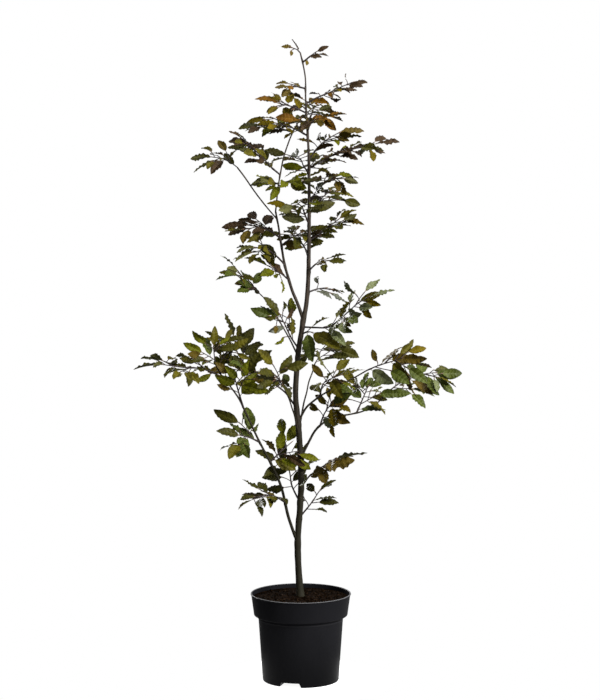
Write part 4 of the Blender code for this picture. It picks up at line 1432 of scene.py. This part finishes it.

# %% [markdown]
# ## Colours of copper beech leaves
#
# By late summer a copper beech in shade turns from purple to bronze, olive and dark green.
# The newest leaves at the top stay rusty, and undersides are duller and have colours of
# their own. Some colours are painted light: silver and pale are a painted sheen, gold and
# lime are partly painted light shining through the leaf, and deep is painted shade low in
# the crown. Each colour is a finish and is dealt out by spray, so a colour stays where it
# belongs. Inside a finish two near tones are mottled, the veins are paler and the margin
# darker, as marked on the leaf's own points.

# %% Leaf finishes
# Colour name: darker tone, lighter tone, vein tone, roughness, sheen
LEAF_TINTS = {
    "olive": ((0.042, 0.035, 0.0015), (0.094, 0.081, 0.0032), (0.140, 0.128, 0.024), 0.50, 0.10),
    "dark": ((0.027, 0.026, 0.0015), (0.056, 0.052, 0.0030), (0.090, 0.088, 0.020), 0.48, 0.12),
    # Painted shade: the darkest tint, dealt to the low sprays
    "deep": ((0.018, 0.018, 0.0011), (0.040, 0.038, 0.0022), (0.070, 0.069, 0.017), 0.48, 0.12),
    "bronze": ((0.046, 0.030, 0.0020), (0.092, 0.062, 0.0045), (0.130, 0.098, 0.026), 0.50, 0.10),
    "rust": ((0.062, 0.026, 0.0014), (0.128, 0.058, 0.0024), (0.165, 0.098, 0.016), 0.54, 0.05),
    # Partly painted light: a golden glow of light shining through the top leaves
    "gold": ((0.056, 0.041, 0.0010), (0.118, 0.085, 0.0020), (0.155, 0.122, 0.018), 0.52, 0.05),
    # Partly painted light: a yellow-green glow of light shining through backlit leaves
    "lime": ((0.052, 0.056, 0.0014), (0.118, 0.122, 0.0030), (0.165, 0.170, 0.026), 0.50, 0.06),
    "green": ((0.030, 0.040, 0.0028), (0.066, 0.086, 0.0065), (0.160, 0.180, 0.060), 0.46, 0.16),
    # Painted sheen: pale green with pale veins, a painted highlight where the right lamp falls
    "pale": ((0.076, 0.090, 0.030), (0.140, 0.158, 0.060), (0.260, 0.285, 0.170), 0.44, 0.25),
    # Painted sheen: a grey painted reflection on the upper face
    "silver": ((0.075, 0.080, 0.052), (0.150, 0.158, 0.112), (0.250, 0.260, 0.210), 0.42, 0.25),
    "plum": ((0.024, 0.0125, 0.0042), (0.048, 0.0270, 0.0095), (0.085, 0.060, 0.032), 0.50, 0.12),
    "umber": ((0.020, 0.010, 0.0036), (0.042, 0.023, 0.0085), (0.080, 0.055, 0.030), 0.50, 0.12),
    "under_green": ((0.068, 0.068, 0.016), (0.110, 0.108, 0.030), (0.170, 0.165, 0.075), 0.58, 0.15),
    "under_bronze": ((0.050, 0.034, 0.008), (0.088, 0.064, 0.018), (0.135, 0.108, 0.048), 0.58, 0.12),
    "under_dark": ((0.038, 0.037, 0.008), (0.070, 0.067, 0.017), (0.115, 0.112, 0.045), 0.58, 0.12),
    "under_plum": ((0.030, 0.018, 0.006), (0.056, 0.035, 0.013), (0.092, 0.068, 0.036), 0.58, 0.12),
}


MARGIN_DARKER = 0.7
MARGIN_SHARE = 0.55
VEIN_SHARE = 0.65


def leaf_finish(name, dark, light, vein, rough, sheen):
    leaf = Finish("leaf_" + name, Specular_IOR_Level=sheen)
    place = leaf.place()
    broad = leaf.mottle(place, 28.0, 4.0, 0.6)
    fine = leaf.mottle(place, 240.0, 3.0)
    rib = leaf.attribute("rib") ** 2.0
    edge = leaf.attribute("edge")
    margin = tuple(MARGIN_DARKER * c for c in dark)
    tone = leaf.blend(leaf.between(broad * 0.7 + fine * 0.3, 0.36, 0.62), dark, light)
    tone = leaf.blend(edge * MARGIN_SHARE, tone, margin)
    leaf.paint(leaf.blend(rib * VEIN_SHARE, tone, vein), rough - 0.08 + fine * 0.22)
    leaf.relief(fine * 0.5 + rib * 0.5, 0.5, 0.0009)
    return leaf


leaf_finishes = [leaf_finish(name, *tones) for name, tones in LEAF_TINTS.items()]
tint_slots = {name: i for i, name in enumerate(LEAF_TINTS)}
print("leaf finishes:", list(LEAF_TINTS))

# %% [markdown]
# ## Shape of a beech leaf
#
# The blade is oval with a short point. Pairs of veins run straight from the midrib to the
# margin, slanting forward; the blade puckers between them and its edge is waved and faintly
# notched. So the rows of the mesh slant as the veins do, four rows to each of the six
# pairs, and the upper and lower sides meet at the margin. Every leaf draws its own width,
# fold, twist and waves, because no two leaves on a tree are alike.

# %% Leaf blade
VEIN_PAIRS = 6
ROWS_PER_VEIN = 4
LEAF_ROWS = VEIN_PAIRS * ROWS_PER_VEIN
COLUMNS = (0.0, 0.08, 0.45, 0.78, 1.0)
RIB_MARKS = (1.0, 0.75, 0.7, 0.6, 0.35)
VEIN_SLANT = 0.17
SCALLOP = 0.028
PUCKER = 0.007
BLADE_THICK = 0.004
RIB_THICK = 0.009
# Ranges that each leaf draws from; sizes are shares of the leaf's length
WIDTHS = (0.67, 0.95)
FOLDS = (0.08, 0.75)
TWISTS = (-0.9, 0.9)
CURLS = (-0.10, 0.34)
BENDS = (-0.10, 0.10)
# Size and pace, in waves along the blade, of a half's slow waves and of its bulges
SWAYS, SWAY_PACES = (0.012, 0.050), (0.8, 2.0)
SWELLS, SWELL_PACES = (0.02, 0.08), (0.8, 1.5)
RUFFLES = (0.014, 0.034)


def outline(share):
    """Half width of the blade at a share of its length, 1 at its widest."""
    return math.sin(math.pi * min(1.0, share) ** 0.95) ** 0.66 * (1 - 0.20 * share**4)


def leaf_side(rng):
    """How one half of the blade sways, swells and ruffles along its length."""
    sway = rng.uniform(*SWAYS), rng.uniform(*SWAY_PACES) * 2 * math.pi, rng.uniform(0, 6.3)
    swell = rng.uniform(*SWELLS), rng.uniform(*SWELL_PACES) * 2 * math.pi, rng.uniform(0, 6.3)
    ruffle = rng.uniform(*RUFFLES), 2 * math.pi * (VEIN_PAIRS - 1), rng.uniform(0, 6.3)

    def waves(u):
        return sum(size * math.sin(pace * u + start) for size, pace, start in (sway, ruffle))

    def lobes(u):
        size, pace, start = swell
        return size * math.sin(pace * u + start)

    return {"waves": waves, "lobes": lobes}


def leaf_blade(leaf, rng):
    """Points, faces and marks of one leaf, upper side first."""
    size = leaf.size
    half = size * LEAF_HALF_WIDTH * rng.uniform(*WIDTHS)
    fold = rng.uniform(*FOLDS)
    twist = rng.uniform(*TWISTS)
    curl = rng.uniform(*CURLS)
    bend = rng.uniform(*BENDS)
    sides = {sign: leaf_side(rng) for sign in (-1, 1)}
    row_columns = [-t for t in reversed(COLUMNS[1:])] + list(COLUMNS)
    middle = len(COLUMNS) - 1
    upper, lower = [], []
    for i in range(LEAF_ROWS + 1):
        u = (i + 0.35) / (LEAF_ROWS + 0.7)
        vein = i % ROWS_PER_VEIN == 0
        beat = math.cos(2 * math.pi * i / ROWS_PER_VEIN)
        slant = VEIN_SLANT * (1 - u) * min(1.0, 2.5 * u)
        for j, t in enumerate(row_columns):
            far = abs(t)
            side = sides[-1 if t < 0 else 1]
            edge_swell = 1 + side["lobes"](u) + SCALLOP * beat
            wide = half * outline(u + slant) * edge_swell
            share = BLADE_START + (1 - BLADE_START) * (u + slant * far)
            y = wide * t + bend * size * share**2
            z = fold * half * outline(u + slant) * far * (1 - 0.35 * far)
            z += far**1.6 * size * side["waves"](u) * min(1.0, 3 * (1 - u), 5 * u + 0.2)
            z -= beat * PUCKER * size * math.sin(math.pi * far)
            z -= curl * size * max(0.0, share - 0.5) ** 2
            thick = BLADE_THICK * size * (1 - far**4) / 2
            ridge = RIB_THICK * size * (1 - 0.7 * u) if j == middle else 0.0
            rib_mark = RIB_MARKS[abs(j - middle)] if vein or j == middle else 0.0
            upper.append((on_arch(leaf, share, y, z + thick, twist), rib_mark, far**3))
            if far < 1:
                lower.append((on_arch(leaf, share, y, z - thick - ridge, twist), rib_mark, far**3))
    tip_place = on_arch(leaf, 1.0, bend * size, -curl * size * 0.25, twist)
    ends = [(on_arch(leaf, BLADE_START, 0, 0, twist), 1.0, 0.0), (tip_place, 0.5, 1.0)]
    verts, rib, edge = (list(values) for values in zip(*(upper + lower + ends)))
    wide_count = len(row_columns)
    base, tip = len(verts) - 2, len(verts) - 1
    over_faces, under_faces = [], []

    def low(k):
        """The lower point, or the shared one on the margin."""
        row, column = divmod(k, wide_count)
        if column in (0, wide_count - 1):
            return k
        return len(upper) + row * (wide_count - 2) + column - 1

    for i in range(LEAF_ROWS):
        for j in range(wide_count - 1):
            a, b = i * wide_count + j, i * wide_count + j + 1
            c, d = b + wide_count, a + wide_count
            over_faces.append((a, d, c, b))
            under_faces.append((low(a), low(b), low(c), low(d)))
    for j in range(wide_count - 1):
        over_faces.append((base, j, j + 1))
        under_faces.append((base, low(j + 1), low(j)))
        k = LEAF_ROWS * wide_count + j
        over_faces.append((tip, k + 1, k))
        under_faces.append((tip, low(k), low(k + 1)))
    return verts, over_faces, under_faces, rib, edge


print("a leaf's mesh:", LEAF_ROWS + 1, "rows of", 2 * len(COLUMNS) - 1, "points")


# %% [markdown]
# ## Dealing out the leaves
#
# On a copper beech, leaves that grow together took the same sun and so have near colours.
# Colours dealt out leaf by leaf would look like confetti. So each part of the crown has
# its own mix, each spray leans to one colour of it, and the sprays that plainly keep to a
# colour in the photo are listed by name.

# %% Mixes of colours
# silver and pale are painted sheen, deep is painted shade, and gold and lime are partly painted light
# shining through the leaf
# Part of the crown: how often each colour comes
TINT_MIX = {
    "top": {"rust": 3, "gold": 3, "olive": 3, "bronze": 4, "plum": 3, "umber": 2, "silver": 1},
    "upper": {
        "olive": 5,
        "dark": 5,
        "lime": 2,
        "bronze": 3,
        "gold": 1,
        "green": 1,
        "silver": 1,
        "plum": 1,
    },
    "fork": {"olive": 5, "bronze": 4, "dark": 3, "gold": 1, "lime": 1, "plum": 2},
    "left": {"olive": 5, "dark": 3, "lime": 2, "bronze": 3, "green": 2, "plum": 1},
    "right": {"olive": 5, "lime": 2, "green": 2, "bronze": 3, "gold": 1, "pale": 3},
    "low": {"deep": 6, "dark": 5, "olive": 2, "bronze": 2, "green": 1},
}
# How often a leaf takes its spray's colour
SPRAY_LEANS = 0.40
OWN_LEANS = 0.65
# Of these colours, pale is a painted sheen, deep is painted shade, and gold and lime are partly painted
# light shining through the leaf
# Sprays that plainly keep to one colour
OWN_TINTS = {
    "spray_tip": "umber",
    "spray_top_right": "plum",
    "spray_top_left": "bronze",
    "spray_crest_left": "gold",
    "spray_crest_back": "rust",
    "spray_crest_right": "plum",
    "spray_shoulder_left": "gold",
    "spray_upper_right_long": "plum",
    "spray_fork_front": "lime",
    "spray_left_inner": "lime",
    "spray_left_flank": "green",
    "spray_left_low": "deep",
    "spray_low_left": "deep",
    "spray_low_foot": "deep",
    "spray_low_right": "bronze",
    "spray_front": "dark",
    "spray_back": "dark",
    "spray_right_high": "pale",
    "spray_right_end": "green",
}
# Upper colour: colour of the underside, green where none is listed
UNDERSIDES = {
    "rust": "under_bronze",
    "bronze": "under_bronze",
    "plum": "under_plum",
    "umber": "under_plum",
    "dark": "under_dark",
    "deep": "under_dark",
}


def drawn_tint(mix, rng):
    """A colour drawn from a mix."""
    return rng.choices(list(mix), list(mix.values()))[0]


print("sprays that keep to a colour:", len(OWN_TINTS))


# %% [markdown]
# ## The leaf pieces
#
# All leaves of one part of the crown become one piece. The upper faces of a leaf take the
# drawn colour and the lower faces its underside's colour. Each spray has its own seed, so
# a change to one spray leaves the leaves of the others as they are.

# %% Leaf pieces
# A wider angle than this between two faces stays sharp, in degrees
LEAF_SHARP = 75.0

for part, mix in TINT_MIX.items():
    bundle = Bundle()
    for spray in crown[part]:
        rng = random.Random(spray.seed * 13 + len(spray.name))
        own = drawn_tint(mix, rng)
        leans = OWN_LEANS if spray.name in OWN_TINTS else SPRAY_LEANS
        own = OWN_TINTS.get(spray.name, own)
        for leaf in spray.leaves:
            tint = own if rng.random() < leans else drawn_tint(mix, rng)
            under = UNDERSIDES.get(tint, "under_green")
            verts, over_faces, under_faces, rib, edge = leaf_blade(leaf, rng)
            slots = [tint_slots[tint]] * len(over_faces) + [tint_slots[under]] * len(under_faces)
            bundle.add(verts, over_faces + under_faces, slots, rib=rib, edge=edge)
    leaves = bundle.piece("leaves_" + part, leaf_finishes, sharp=LEAF_SHARP)
    look = "bronze_leaves" if part == "top" else "leafy_twigs"
    stands_for(leaves, look, *[spray.name for spray in crown[part]])
    print(leaves.name, len(bundle.faces), "faces")
print("leaves in all:", sum(len(spray.leaves) for spray in sprays))

# %% [markdown]
# ## The nursery pot
#
# A thin blow-moulded pot of black plastic: a tapering body, a step out to a band, a faint
# ring under the step and a rolled lip. Its foot has arches for drainage, with two
# holes in each arch's roof. It is turned from a profile of many points, so that every edge
# is rounded, and the arches are cut from it.

# %% Pot sizes and profile
POT_HEIGHT = 0.230
RIM_RADIUS = 0.131
LIP_HEIGHT = 0.004
LIP_PROUD = 0.0018
BAND_FOOT_RADIUS = 0.1222
BAND_HEIGHT = 0.053
BODY_TOP_RADIUS = 0.1110
BODY_FOOT_RADIUS = 0.0995
FOOT_ROUNDING = 0.003
WALL = 0.0020
RING_DROP = 0.009
RING_PROUD = 0.0007
RING_HALF_WIDTH = 0.003
STEP_EASE = 0.002
ARCH_HEADINGS = (253.5, 73.5)
ARCH_WIDTH = 0.059
ARCH_LEAN = 0.0054
ARCH_HEIGHT = 0.012
ARCH_INNER_END = 0.050
DRAIN_HOLE_RADIUS = 0.006
DRAIN_HOLE_PLACES = (0.062, 0.080)
POT_RING = 144
HOLE_RING = 24
POT_SHARP = 30
LIP_DOTS = 10


def arc(centre, radius, start, end, count):
    """Points of an arc in the profile's plane, angles in degrees."""
    dots = []
    for k in range(count + 1):
        angle = math.radians(start + (end - start) * k / count)
        dots.append((centre[0] + radius * math.cos(angle), centre[1] + radius * math.sin(angle)))
    return dots


def pot_profile():
    """Half section of the pot, from the middle of its underside round to its floor's middle."""
    step = POT_HEIGHT - LIP_HEIGHT - BAND_HEIGHT
    slope = (BODY_TOP_RADIUS - BODY_FOOT_RADIUS) / step
    outside = [(0, 0), (ARCH_INNER_END, 0)]
    outside += arc((BODY_FOOT_RADIUS - FOOT_ROUNDING, FOOT_ROUNDING), FOOT_ROUNDING, -90, 0, 6)
    ring = step - RING_DROP
    for k in range(9):
        across = (k / 4 - 1) * RING_HALF_WIDTH
        swell = RING_PROUD * (1 + math.cos(math.pi * across / RING_HALF_WIDTH)) / 2
        outside.append((BODY_FOOT_RADIUS + slope * (ring + across) + swell, ring + across))
    outside.append((BODY_TOP_RADIUS, step - STEP_EASE))
    outside += arc((BODY_TOP_RADIUS + STEP_EASE, step - STEP_EASE), STEP_EASE, 180, 90, 4)
    outside += arc((BAND_FOOT_RADIUS - STEP_EASE, step + STEP_EASE), STEP_EASE, -90, 0, 4)
    outside.append((RIM_RADIUS - LIP_PROUD, POT_HEIGHT - LIP_HEIGHT))
    roll = LIP_HEIGHT / 2
    outside += arc((RIM_RADIUS - roll, POT_HEIGHT - roll), roll, -60, 150, LIP_DOTS)
    inside = [
        (RIM_RADIUS - LIP_PROUD - WALL, POT_HEIGHT - LIP_HEIGHT),
        (BAND_FOOT_RADIUS - WALL, step + 2 * STEP_EASE),
        (BODY_TOP_RADIUS - WALL, step - STEP_EASE / 2),
        (BODY_FOOT_RADIUS - WALL, FOOT_ROUNDING),
        (BODY_FOOT_RADIUS - 2 * WALL, WALL),
        (0, WALL),
    ]
    return outside + inside


def turned_skin(profile, sides):
    """Closed skin turned round Z from a profile that starts and ends on the axis."""
    verts, faces, rings = [], [], []
    for radius, height in profile:
        count = sides if radius else 1
        rings.append([len(verts) + k for k in range(count)])
        for k in range(count):
            angle = 2 * math.pi * k / sides
            verts.append(Vector((radius * math.cos(angle), radius * math.sin(angle), height)))
    for low, high in zip(rings, rings[1:]):
        for k in range(sides):
            nxt = (k + 1) % sides
            if len(low) == 1:
                faces.append((low[0], high[nxt], high[k]))
            elif len(high) == 1:
                faces.append((low[k], low[nxt], high[0]))
            else:
                faces.append((low[k], low[nxt], high[nxt], high[k]))
    return verts, faces


print("points of the pot's profile:", len(pot_profile()))


# %% [markdown]
# ## Black plastic
#
# Blow-moulded polythene is a deep black with a soft satin sheen. A fine orange-peel grain
# breaks the highlight, and handling leaves faint duller patches. The foot is painted deeper
# black than the band as painted shade, and a paler ring under the step and a grey line on
# top of the lip are painted highlights. All of these go by height, so the finish reads the
# height of each point.

# %% Pot finish
# Painted shade: the foot is painted deeper black than the band
SHADED_FOOT_DEEP, SHADED_FOOT_SOFT = (0.0018, 0.0018, 0.0021), (0.0030, 0.0030, 0.0034)
BAND_DEEP, BAND_SOFT = (0.0082, 0.0082, 0.0095), (0.0114, 0.0114, 0.0132)
# Painted highlight: a paler line on the ring under the step
RING_HIGHLIGHT_GREY = (0.050, 0.050, 0.053)
# Painted highlight: a grey line on top of the lip
LIP_HIGHLIGHT_GREY = (0.130, 0.130, 0.134)
SCUFF_GREY = (0.016, 0.0155, 0.015)
# Heights between which the foot's painted shade fades into the band's black
FOOT_SHADE_FROM, FOOT_SHADE_TO = -0.01, 0.17
RING_HEIGHT = POT_HEIGHT - LIP_HEIGHT - BAND_HEIGHT - RING_DROP
PATCH_STRETCH = (1.0, 1.0, 0.5)
SCUFF_STRETCH = (1.0, 1.0, 3.0)


def pot_finish():
    plastic = Finish("pot_black", Specular_IOR_Level=0.025)
    place = plastic.place()
    grain = plastic.mottle(place, 900.0, 2.0)
    patches = plastic.mottle(plastic.stretched(place, PATCH_STRETCH), 22.0, 4.0, 0.6)
    scratches = plastic.mottle(plastic.stretched(place, SCUFF_STRETCH), 95.0, 5.0, 0.7)
    scuffs = plastic.between(scratches, 0.60, 0.74)
    up = plastic.height(place)
    # Painted shade: the foot's deeper black
    foot = plastic.blend(patches, SHADED_FOOT_DEEP, SHADED_FOOT_SOFT)
    band = plastic.blend(patches, BAND_DEEP, BAND_SOFT)
    wear_and_painted_light = plastic.blend(plastic.between(up, FOOT_SHADE_FROM, FOOT_SHADE_TO), foot, band)
    # Painted highlight along the ring under the step
    ring = 1 - plastic.between(abs(up - RING_HEIGHT), 0.0004, 0.0020)
    wear_and_painted_light = plastic.blend(ring * 0.22, wear_and_painted_light, RING_HIGHLIGHT_GREY)
    # Painted highlight on top of the lip
    lip_highlight = plastic.between(up, POT_HEIGHT - 0.0016, POT_HEIGHT - 0.0004)
    wear_and_painted_light = plastic.blend(lip_highlight, wear_and_painted_light, LIP_HIGHLIGHT_GREY)
    wear_and_painted_light = plastic.blend(scuffs * 0.35, wear_and_painted_light, SCUFF_GREY)
    plastic.paint(wear_and_painted_light, 0.34 + patches * 0.16 + scuffs * 0.12)
    plastic.relief(grain * 0.5 + patches, 0.22, 0.0008)
    return plastic


pot_black = pot_finish()
print("finish:", pot_black.material.name)

# %% [markdown]
# ## Turning the pot and cutting its arches
#
# A real pot like this is blown in one piece, so its drain arches have roofs and side walls.
# Booleans make them the short way: the roofs of the arches are joined on to the turned
# pot, and then the ways under them and the holes are cut out.

# %% Pot piece
def arch_bar(heading, grow, inner, outer, bottom):
    """Bar with leaning sides that runs outward along a heading."""
    top = ARCH_HEIGHT + grow
    low_half = ARCH_WIDTH / 2 + grow - ARCH_LEAN * bottom / ARCH_HEIGHT
    top_half = ARCH_WIDTH / 2 + grow - ARCH_LEAN * top / ARCH_HEIGHT
    section = ((-low_half, bottom), (low_half, bottom), (top_half, top), (-top_half, top))
    turn = Matrix.Rotation(math.radians(heading), 3, "Z")
    verts = [turn @ Vector((x, y, z)) for x in (inner, outer) for y, z in section]
    faces = [(3, 2, 1, 0), (4, 5, 6, 7)]
    return verts, faces + [(k, (k + 1) % 4, (k + 1) % 4 + 4, k + 4) for k in range(4)]


def combine(thing, tool_skin, operation):
    """Joins a skin on to a piece, cuts it away or keeps what lies in both."""
    tool = as_object("tool", tool_skin)
    change = thing.modifiers.new("change", "BOOLEAN")
    change.operation = operation
    change.object = tool
    change.solver = "EXACT"
    graph = bpy.context.evaluated_depsgraph_get()
    shaped = bpy.data.meshes.new_from_object(thing.evaluated_get(graph))
    thing.modifiers.clear()
    thing.data = shaped
    bpy.data.objects.remove(tool)


def as_object(name, verts_and_faces):
    """An object of the scene with a skin as its mesh."""
    mesh = bpy.data.meshes.new(name)
    mesh.from_pydata(verts_and_faces[0], [], verts_and_faces[1])
    thing = bpy.data.objects.new(name, mesh)
    bpy.context.scene.collection.objects.link(thing)
    return thing


def arch_roof(heading):
    """Roof and side walls of a drain arch, rounded off within the pot's wall."""
    bar = arch_bar(heading, WALL, ARCH_INNER_END - WALL, RIM_RADIUS, WALL / 2)
    roof = as_object("arch_roof", bar)
    reach, top = BODY_FOOT_RADIUS - WALL / 2, 2 * ARCH_HEIGHT
    drum = turned_skin([(0, 0), (reach, 0), (reach, top), (0, top)], POT_RING)
    combine(roof, drum, "INTERSECT")
    verts = [vert.co.copy() for vert in roof.data.vertices]
    faces = [tuple(face.vertices) for face in roof.data.polygons]
    bpy.data.objects.remove(roof)
    return verts, faces


body = Bundle()
body.add(*turned_skin(pot_profile(), POT_RING))
pot = body.piece("pot_body", [pot_black])
for heading in ARCH_HEADINGS:
    combine(pot, arch_roof(heading), "UNION")
    combine(pot, arch_bar(heading, 0.0, ARCH_INNER_END, RIM_RADIUS, -WALL), "DIFFERENCE")
    for far in DRAIN_HOLE_PLACES:
        hole = direction(heading, 0) * far
        low, high = ARCH_HEIGHT / 2, ARCH_HEIGHT + 2 * WALL
        bore = [(0, low), (DRAIN_HOLE_RADIUS, low), (DRAIN_HOLE_RADIUS, high), (0, high)]
        verts, faces = turned_skin(bore, HOLE_RING)
        combine(pot, ([v + hole for v in verts], faces), "DIFFERENCE")
pot.data.shade_smooth()
pot.data.set_sharp_from_angle(angle=math.radians(POT_SHARP))
stands_for(pot, "pot_black", "pot")
print("pot faces:", len(pot.data.polygons))

# %% [markdown]
# ## Peat compost
#
# The pot is filled to just under its lip with dark, damp peat: crumbs from dust to pea
# size, with fibres and bits of bark. A photo of soil would repeat, so the finish mixes
# near-black and brown by two scales of noise, with a few paler flecks. Fibres have a paler
# finish of their own.

# %% Peat finishes
PEAT_DARK, PEAT_BROWN = (0.0011, 0.0007, 0.0004), (0.0090, 0.0046, 0.0022)
FLECK_BROWN = (0.045, 0.023, 0.010)
FIBRE_DARK, FIBRE_PALE = (0.014, 0.008, 0.005), (0.055, 0.030, 0.016)


def peat_finish():
    peat = Finish("peat", Specular_IOR_Level=0.005)
    place = peat.place()
    grains = peat.mottle(place, 420.0, 4.0, 0.7)
    clods = peat.mottle(place, 70.0, 3.0)
    flecks = peat.between(peat.mottle(place, 160.0), 0.60, 0.68)
    damp = peat.between(clods * 0.5 + grains * 0.5, 0.38, 0.62)
    base = peat.blend(damp, PEAT_DARK, PEAT_BROWN)
    peat.paint(peat.blend(flecks * 0.6, base, FLECK_BROWN), 0.78 + grains * 0.2)
    peat.relief(grains + clods, 0.8, 0.0016)
    return peat


def fibre_finish():
    fibre = Finish("peat_fibre", Specular_IOR_Level=0.05)
    tone = fibre.mottle(fibre.place(), 260.0)
    fibre.paint(fibre.blend(tone, FIBRE_DARK, FIBRE_PALE), 0.65 + tone * 0.2)
    return fibre


peat_finishes = [peat_finish(), fibre_finish()]
print("finishes:", [finish.material.name for finish in peat_finishes])

# %% [markdown]
# ## The ground of the peat
#
# Below the rim the peat fills the pot, so its skin is turned from a profile that follows the
# pot's inner wall with a hair's breadth of air. Displacement in the shader would not
# change the mesh itself, so the top's rings are lifted by noise point by point.

# %% Peat ground
SOIL_TOP = 0.2214
SOIL_DIP = 0.0025
PEAT_BOTTOM = 0.0170
PEAT_GAP = 0.0006
PEAT_FOOT_MARGIN = 0.0002
# How far the peat's edge stays inside the lip's inner wall
PEAT_EDGE_GAP = 0.0032
PEAT_EDGE = RIM_RADIUS - LIP_PROUD - WALL - PEAT_EDGE_GAP
PEAT_RINGS = 46
PEAT_ROUGH = 0.0024
CLOD_GRAIN = 90


def peat_height(x, y):
    """Height of the peat, a little lower towards the wall."""
    away = math.hypot(x, y) / PEAT_EDGE
    rough = noise.fractal(Vector((x * CLOD_GRAIN, y * CLOD_GRAIN, 3.0)), 0.9, 2.1, 4)
    fade = min(1.0, 4 * (1.02 - away))
    return SOIL_TOP - SOIL_DIP * away**2.4 + PEAT_ROUGH * (0.5 * rough) * fade


inner_wall = pot_profile()[-6:-2]
profile = [(0, PEAT_BOTTOM), (BODY_FOOT_RADIUS - WALL + PEAT_FOOT_MARGIN, PEAT_BOTTOM)]
profile += [(radius - PEAT_GAP, height) for radius, height in (inner_wall[2], inner_wall[1])]
profile += [(PEAT_EDGE * (1 - k / PEAT_RINGS), SOIL_TOP) for k in range(PEAT_RINGS)]
profile.append((0, SOIL_TOP))
verts, faces = turned_skin(profile, POT_RING)
for vert in verts:
    if vert.z > SOIL_TOP - PEAT_GAP:
        vert.z = peat_height(vert.x, vert.y)
ground_peat = Bundle()
ground_peat.add(verts, faces)
print("ground of the peat:", len(faces), "faces")

# %% [markdown]
# ## Crumbs and fibres
#
# Loose crumbs catch the light on top of the peat, and pale root fibres lie across it. They
# could be scattered by a node group, but a plain loop with a seed puts them in the same
# places every time. A crumb is a small turned lump knocked out of round by noise, and a
# fibre is a thin tube laid along the height of the peat.

# %% Crumbs and fibres
CRUMBS = 520
CRUMB_SIZES = (0.0012, 0.0040)
# Half section of a crumb: share of its size outward, share upward
CRUMB_PROFILE = [(0, -1.0), (0.8, -0.55), (1.0, 0.1), (0.7, 0.7), (0, 1.0)]
CRUMB_RING = 6
CRUMB_FLAT = 0.75
CRUMB_KNOCKS = 0.38
CRUMB_SUNK = 0.1
CRUMB_MARGIN = 0.006
FIBRES = 90
FIBRE_MARGIN = 0.014
FIBRE_POINTS = 4
FIBRE_STEP = 0.0035
# A fibre's turn from one point to the next, in degrees
FIBRE_TURN = 14
FIBRE_RISE = 0.0006
FIBRE_RADIUS = 0.0004
PEAT_SEED = 71
rng = random.Random(PEAT_SEED)


def crumb(centre, size):
    """A small lump, knocked out of round."""
    rows = [(far * size, height * size * CRUMB_FLAT) for far, height in CRUMB_PROFILE]
    lump, lump_faces = turned_skin(rows, CRUMB_RING)
    seed = centre * 900
    knocked = [v * (1 + CRUMB_KNOCKS * noise.noise(v / size * 1.7 + seed)) for v in lump]
    angle = rng.uniform(0, 6.28)
    axis = Vector((rng.uniform(-1, 1), rng.uniform(-1, 1), 0.3)).normalized()
    tilt = Matrix.Rotation(angle, 3, axis)
    return [centre + tilt @ v for v in knocked], lump_faces


def scattered(margin):
    """A distance from the middle and an angle, even over the peat."""
    return math.sqrt(rng.random()) * (PEAT_EDGE - margin), rng.uniform(0, 2 * math.pi)


for _ in range(CRUMBS):
    far, around = scattered(CRUMB_MARGIN)
    size = CRUMB_SIZES[0] + (CRUMB_SIZES[1] - CRUMB_SIZES[0]) * rng.random() ** 3
    x, y = far * math.cos(around), far * math.sin(around)
    ground_peat.add(*crumb(Vector((x, y, peat_height(x, y) + size * CRUMB_SUNK)), size))
for _ in range(FIBRES):
    far, around = scattered(FIBRE_MARGIN)
    heading = rng.uniform(0, 360)
    line = []
    for k in range(FIBRE_POINTS):
        turned = math.radians(heading + FIBRE_TURN * k)
        x = far * math.cos(around) + FIBRE_STEP * k * math.cos(turned)
        y = far * math.sin(around) + FIBRE_STEP * k * math.sin(turned)
        line.append((Vector((x, y, peat_height(x, y) + FIBRE_RISE)), FIBRE_RADIUS))
    ground_peat.add(*skin(line, SMALL_RING), slot=1)
peat = ground_peat.piece("peat_top", peat_finishes, sharp=50.0)
stands_for(peat, "peat", "soil")
print(peat.name, len(ground_peat.faces), "faces")

# %% [markdown]
# ## The pale ground
#
# The photo's pot stands on pure white with no shadow round it. A bare plane would catch a
# grey shadow, so this is a small disc of matt white paper just under the pot, very faintly
# mottled. It glows, so that neither its edge nor a shadow shows against the white sky.

# %% Ground
GROUND_RADIUS = 0.24
GROUND_THICK = 0.004
GROUND_RING = 96
GROUND_GLOW = 0.95
PAPER_GREY, PAPER_PALE = (0.54, 0.54, 0.54), (0.58, 0.58, 0.58)
GLOW_SOFT, GLOW_FULL = (0.98, 0.98, 0.98), (1.0, 1.0, 1.0)


def ground_finish():
    paper = Finish("white_paper", Emission_Strength=GROUND_GLOW, Specular_IOR_Level=0.1)
    tone = paper.mottle(paper.place(), 3.0)
    paper.paint(paper.blend(tone, PAPER_GREY, PAPER_PALE), 0.8 + tone * 0.1)
    glow = paper.blend(tone, GLOW_SOFT, GLOW_FULL)
    paper.feed(paper.shader.inputs["Emission Color"], glow)
    return paper


disc = Bundle()
low, high = -GROUND_THICK, 0.0
edge_line = [(0, low), (GROUND_RADIUS, low), (GROUND_RADIUS, high), (0, high)]
disc.add(*turned_skin(edge_line, GROUND_RING))
floor = disc.piece("studio_ground", [ground_finish()])
print(floor.name, len(disc.faces), "faces")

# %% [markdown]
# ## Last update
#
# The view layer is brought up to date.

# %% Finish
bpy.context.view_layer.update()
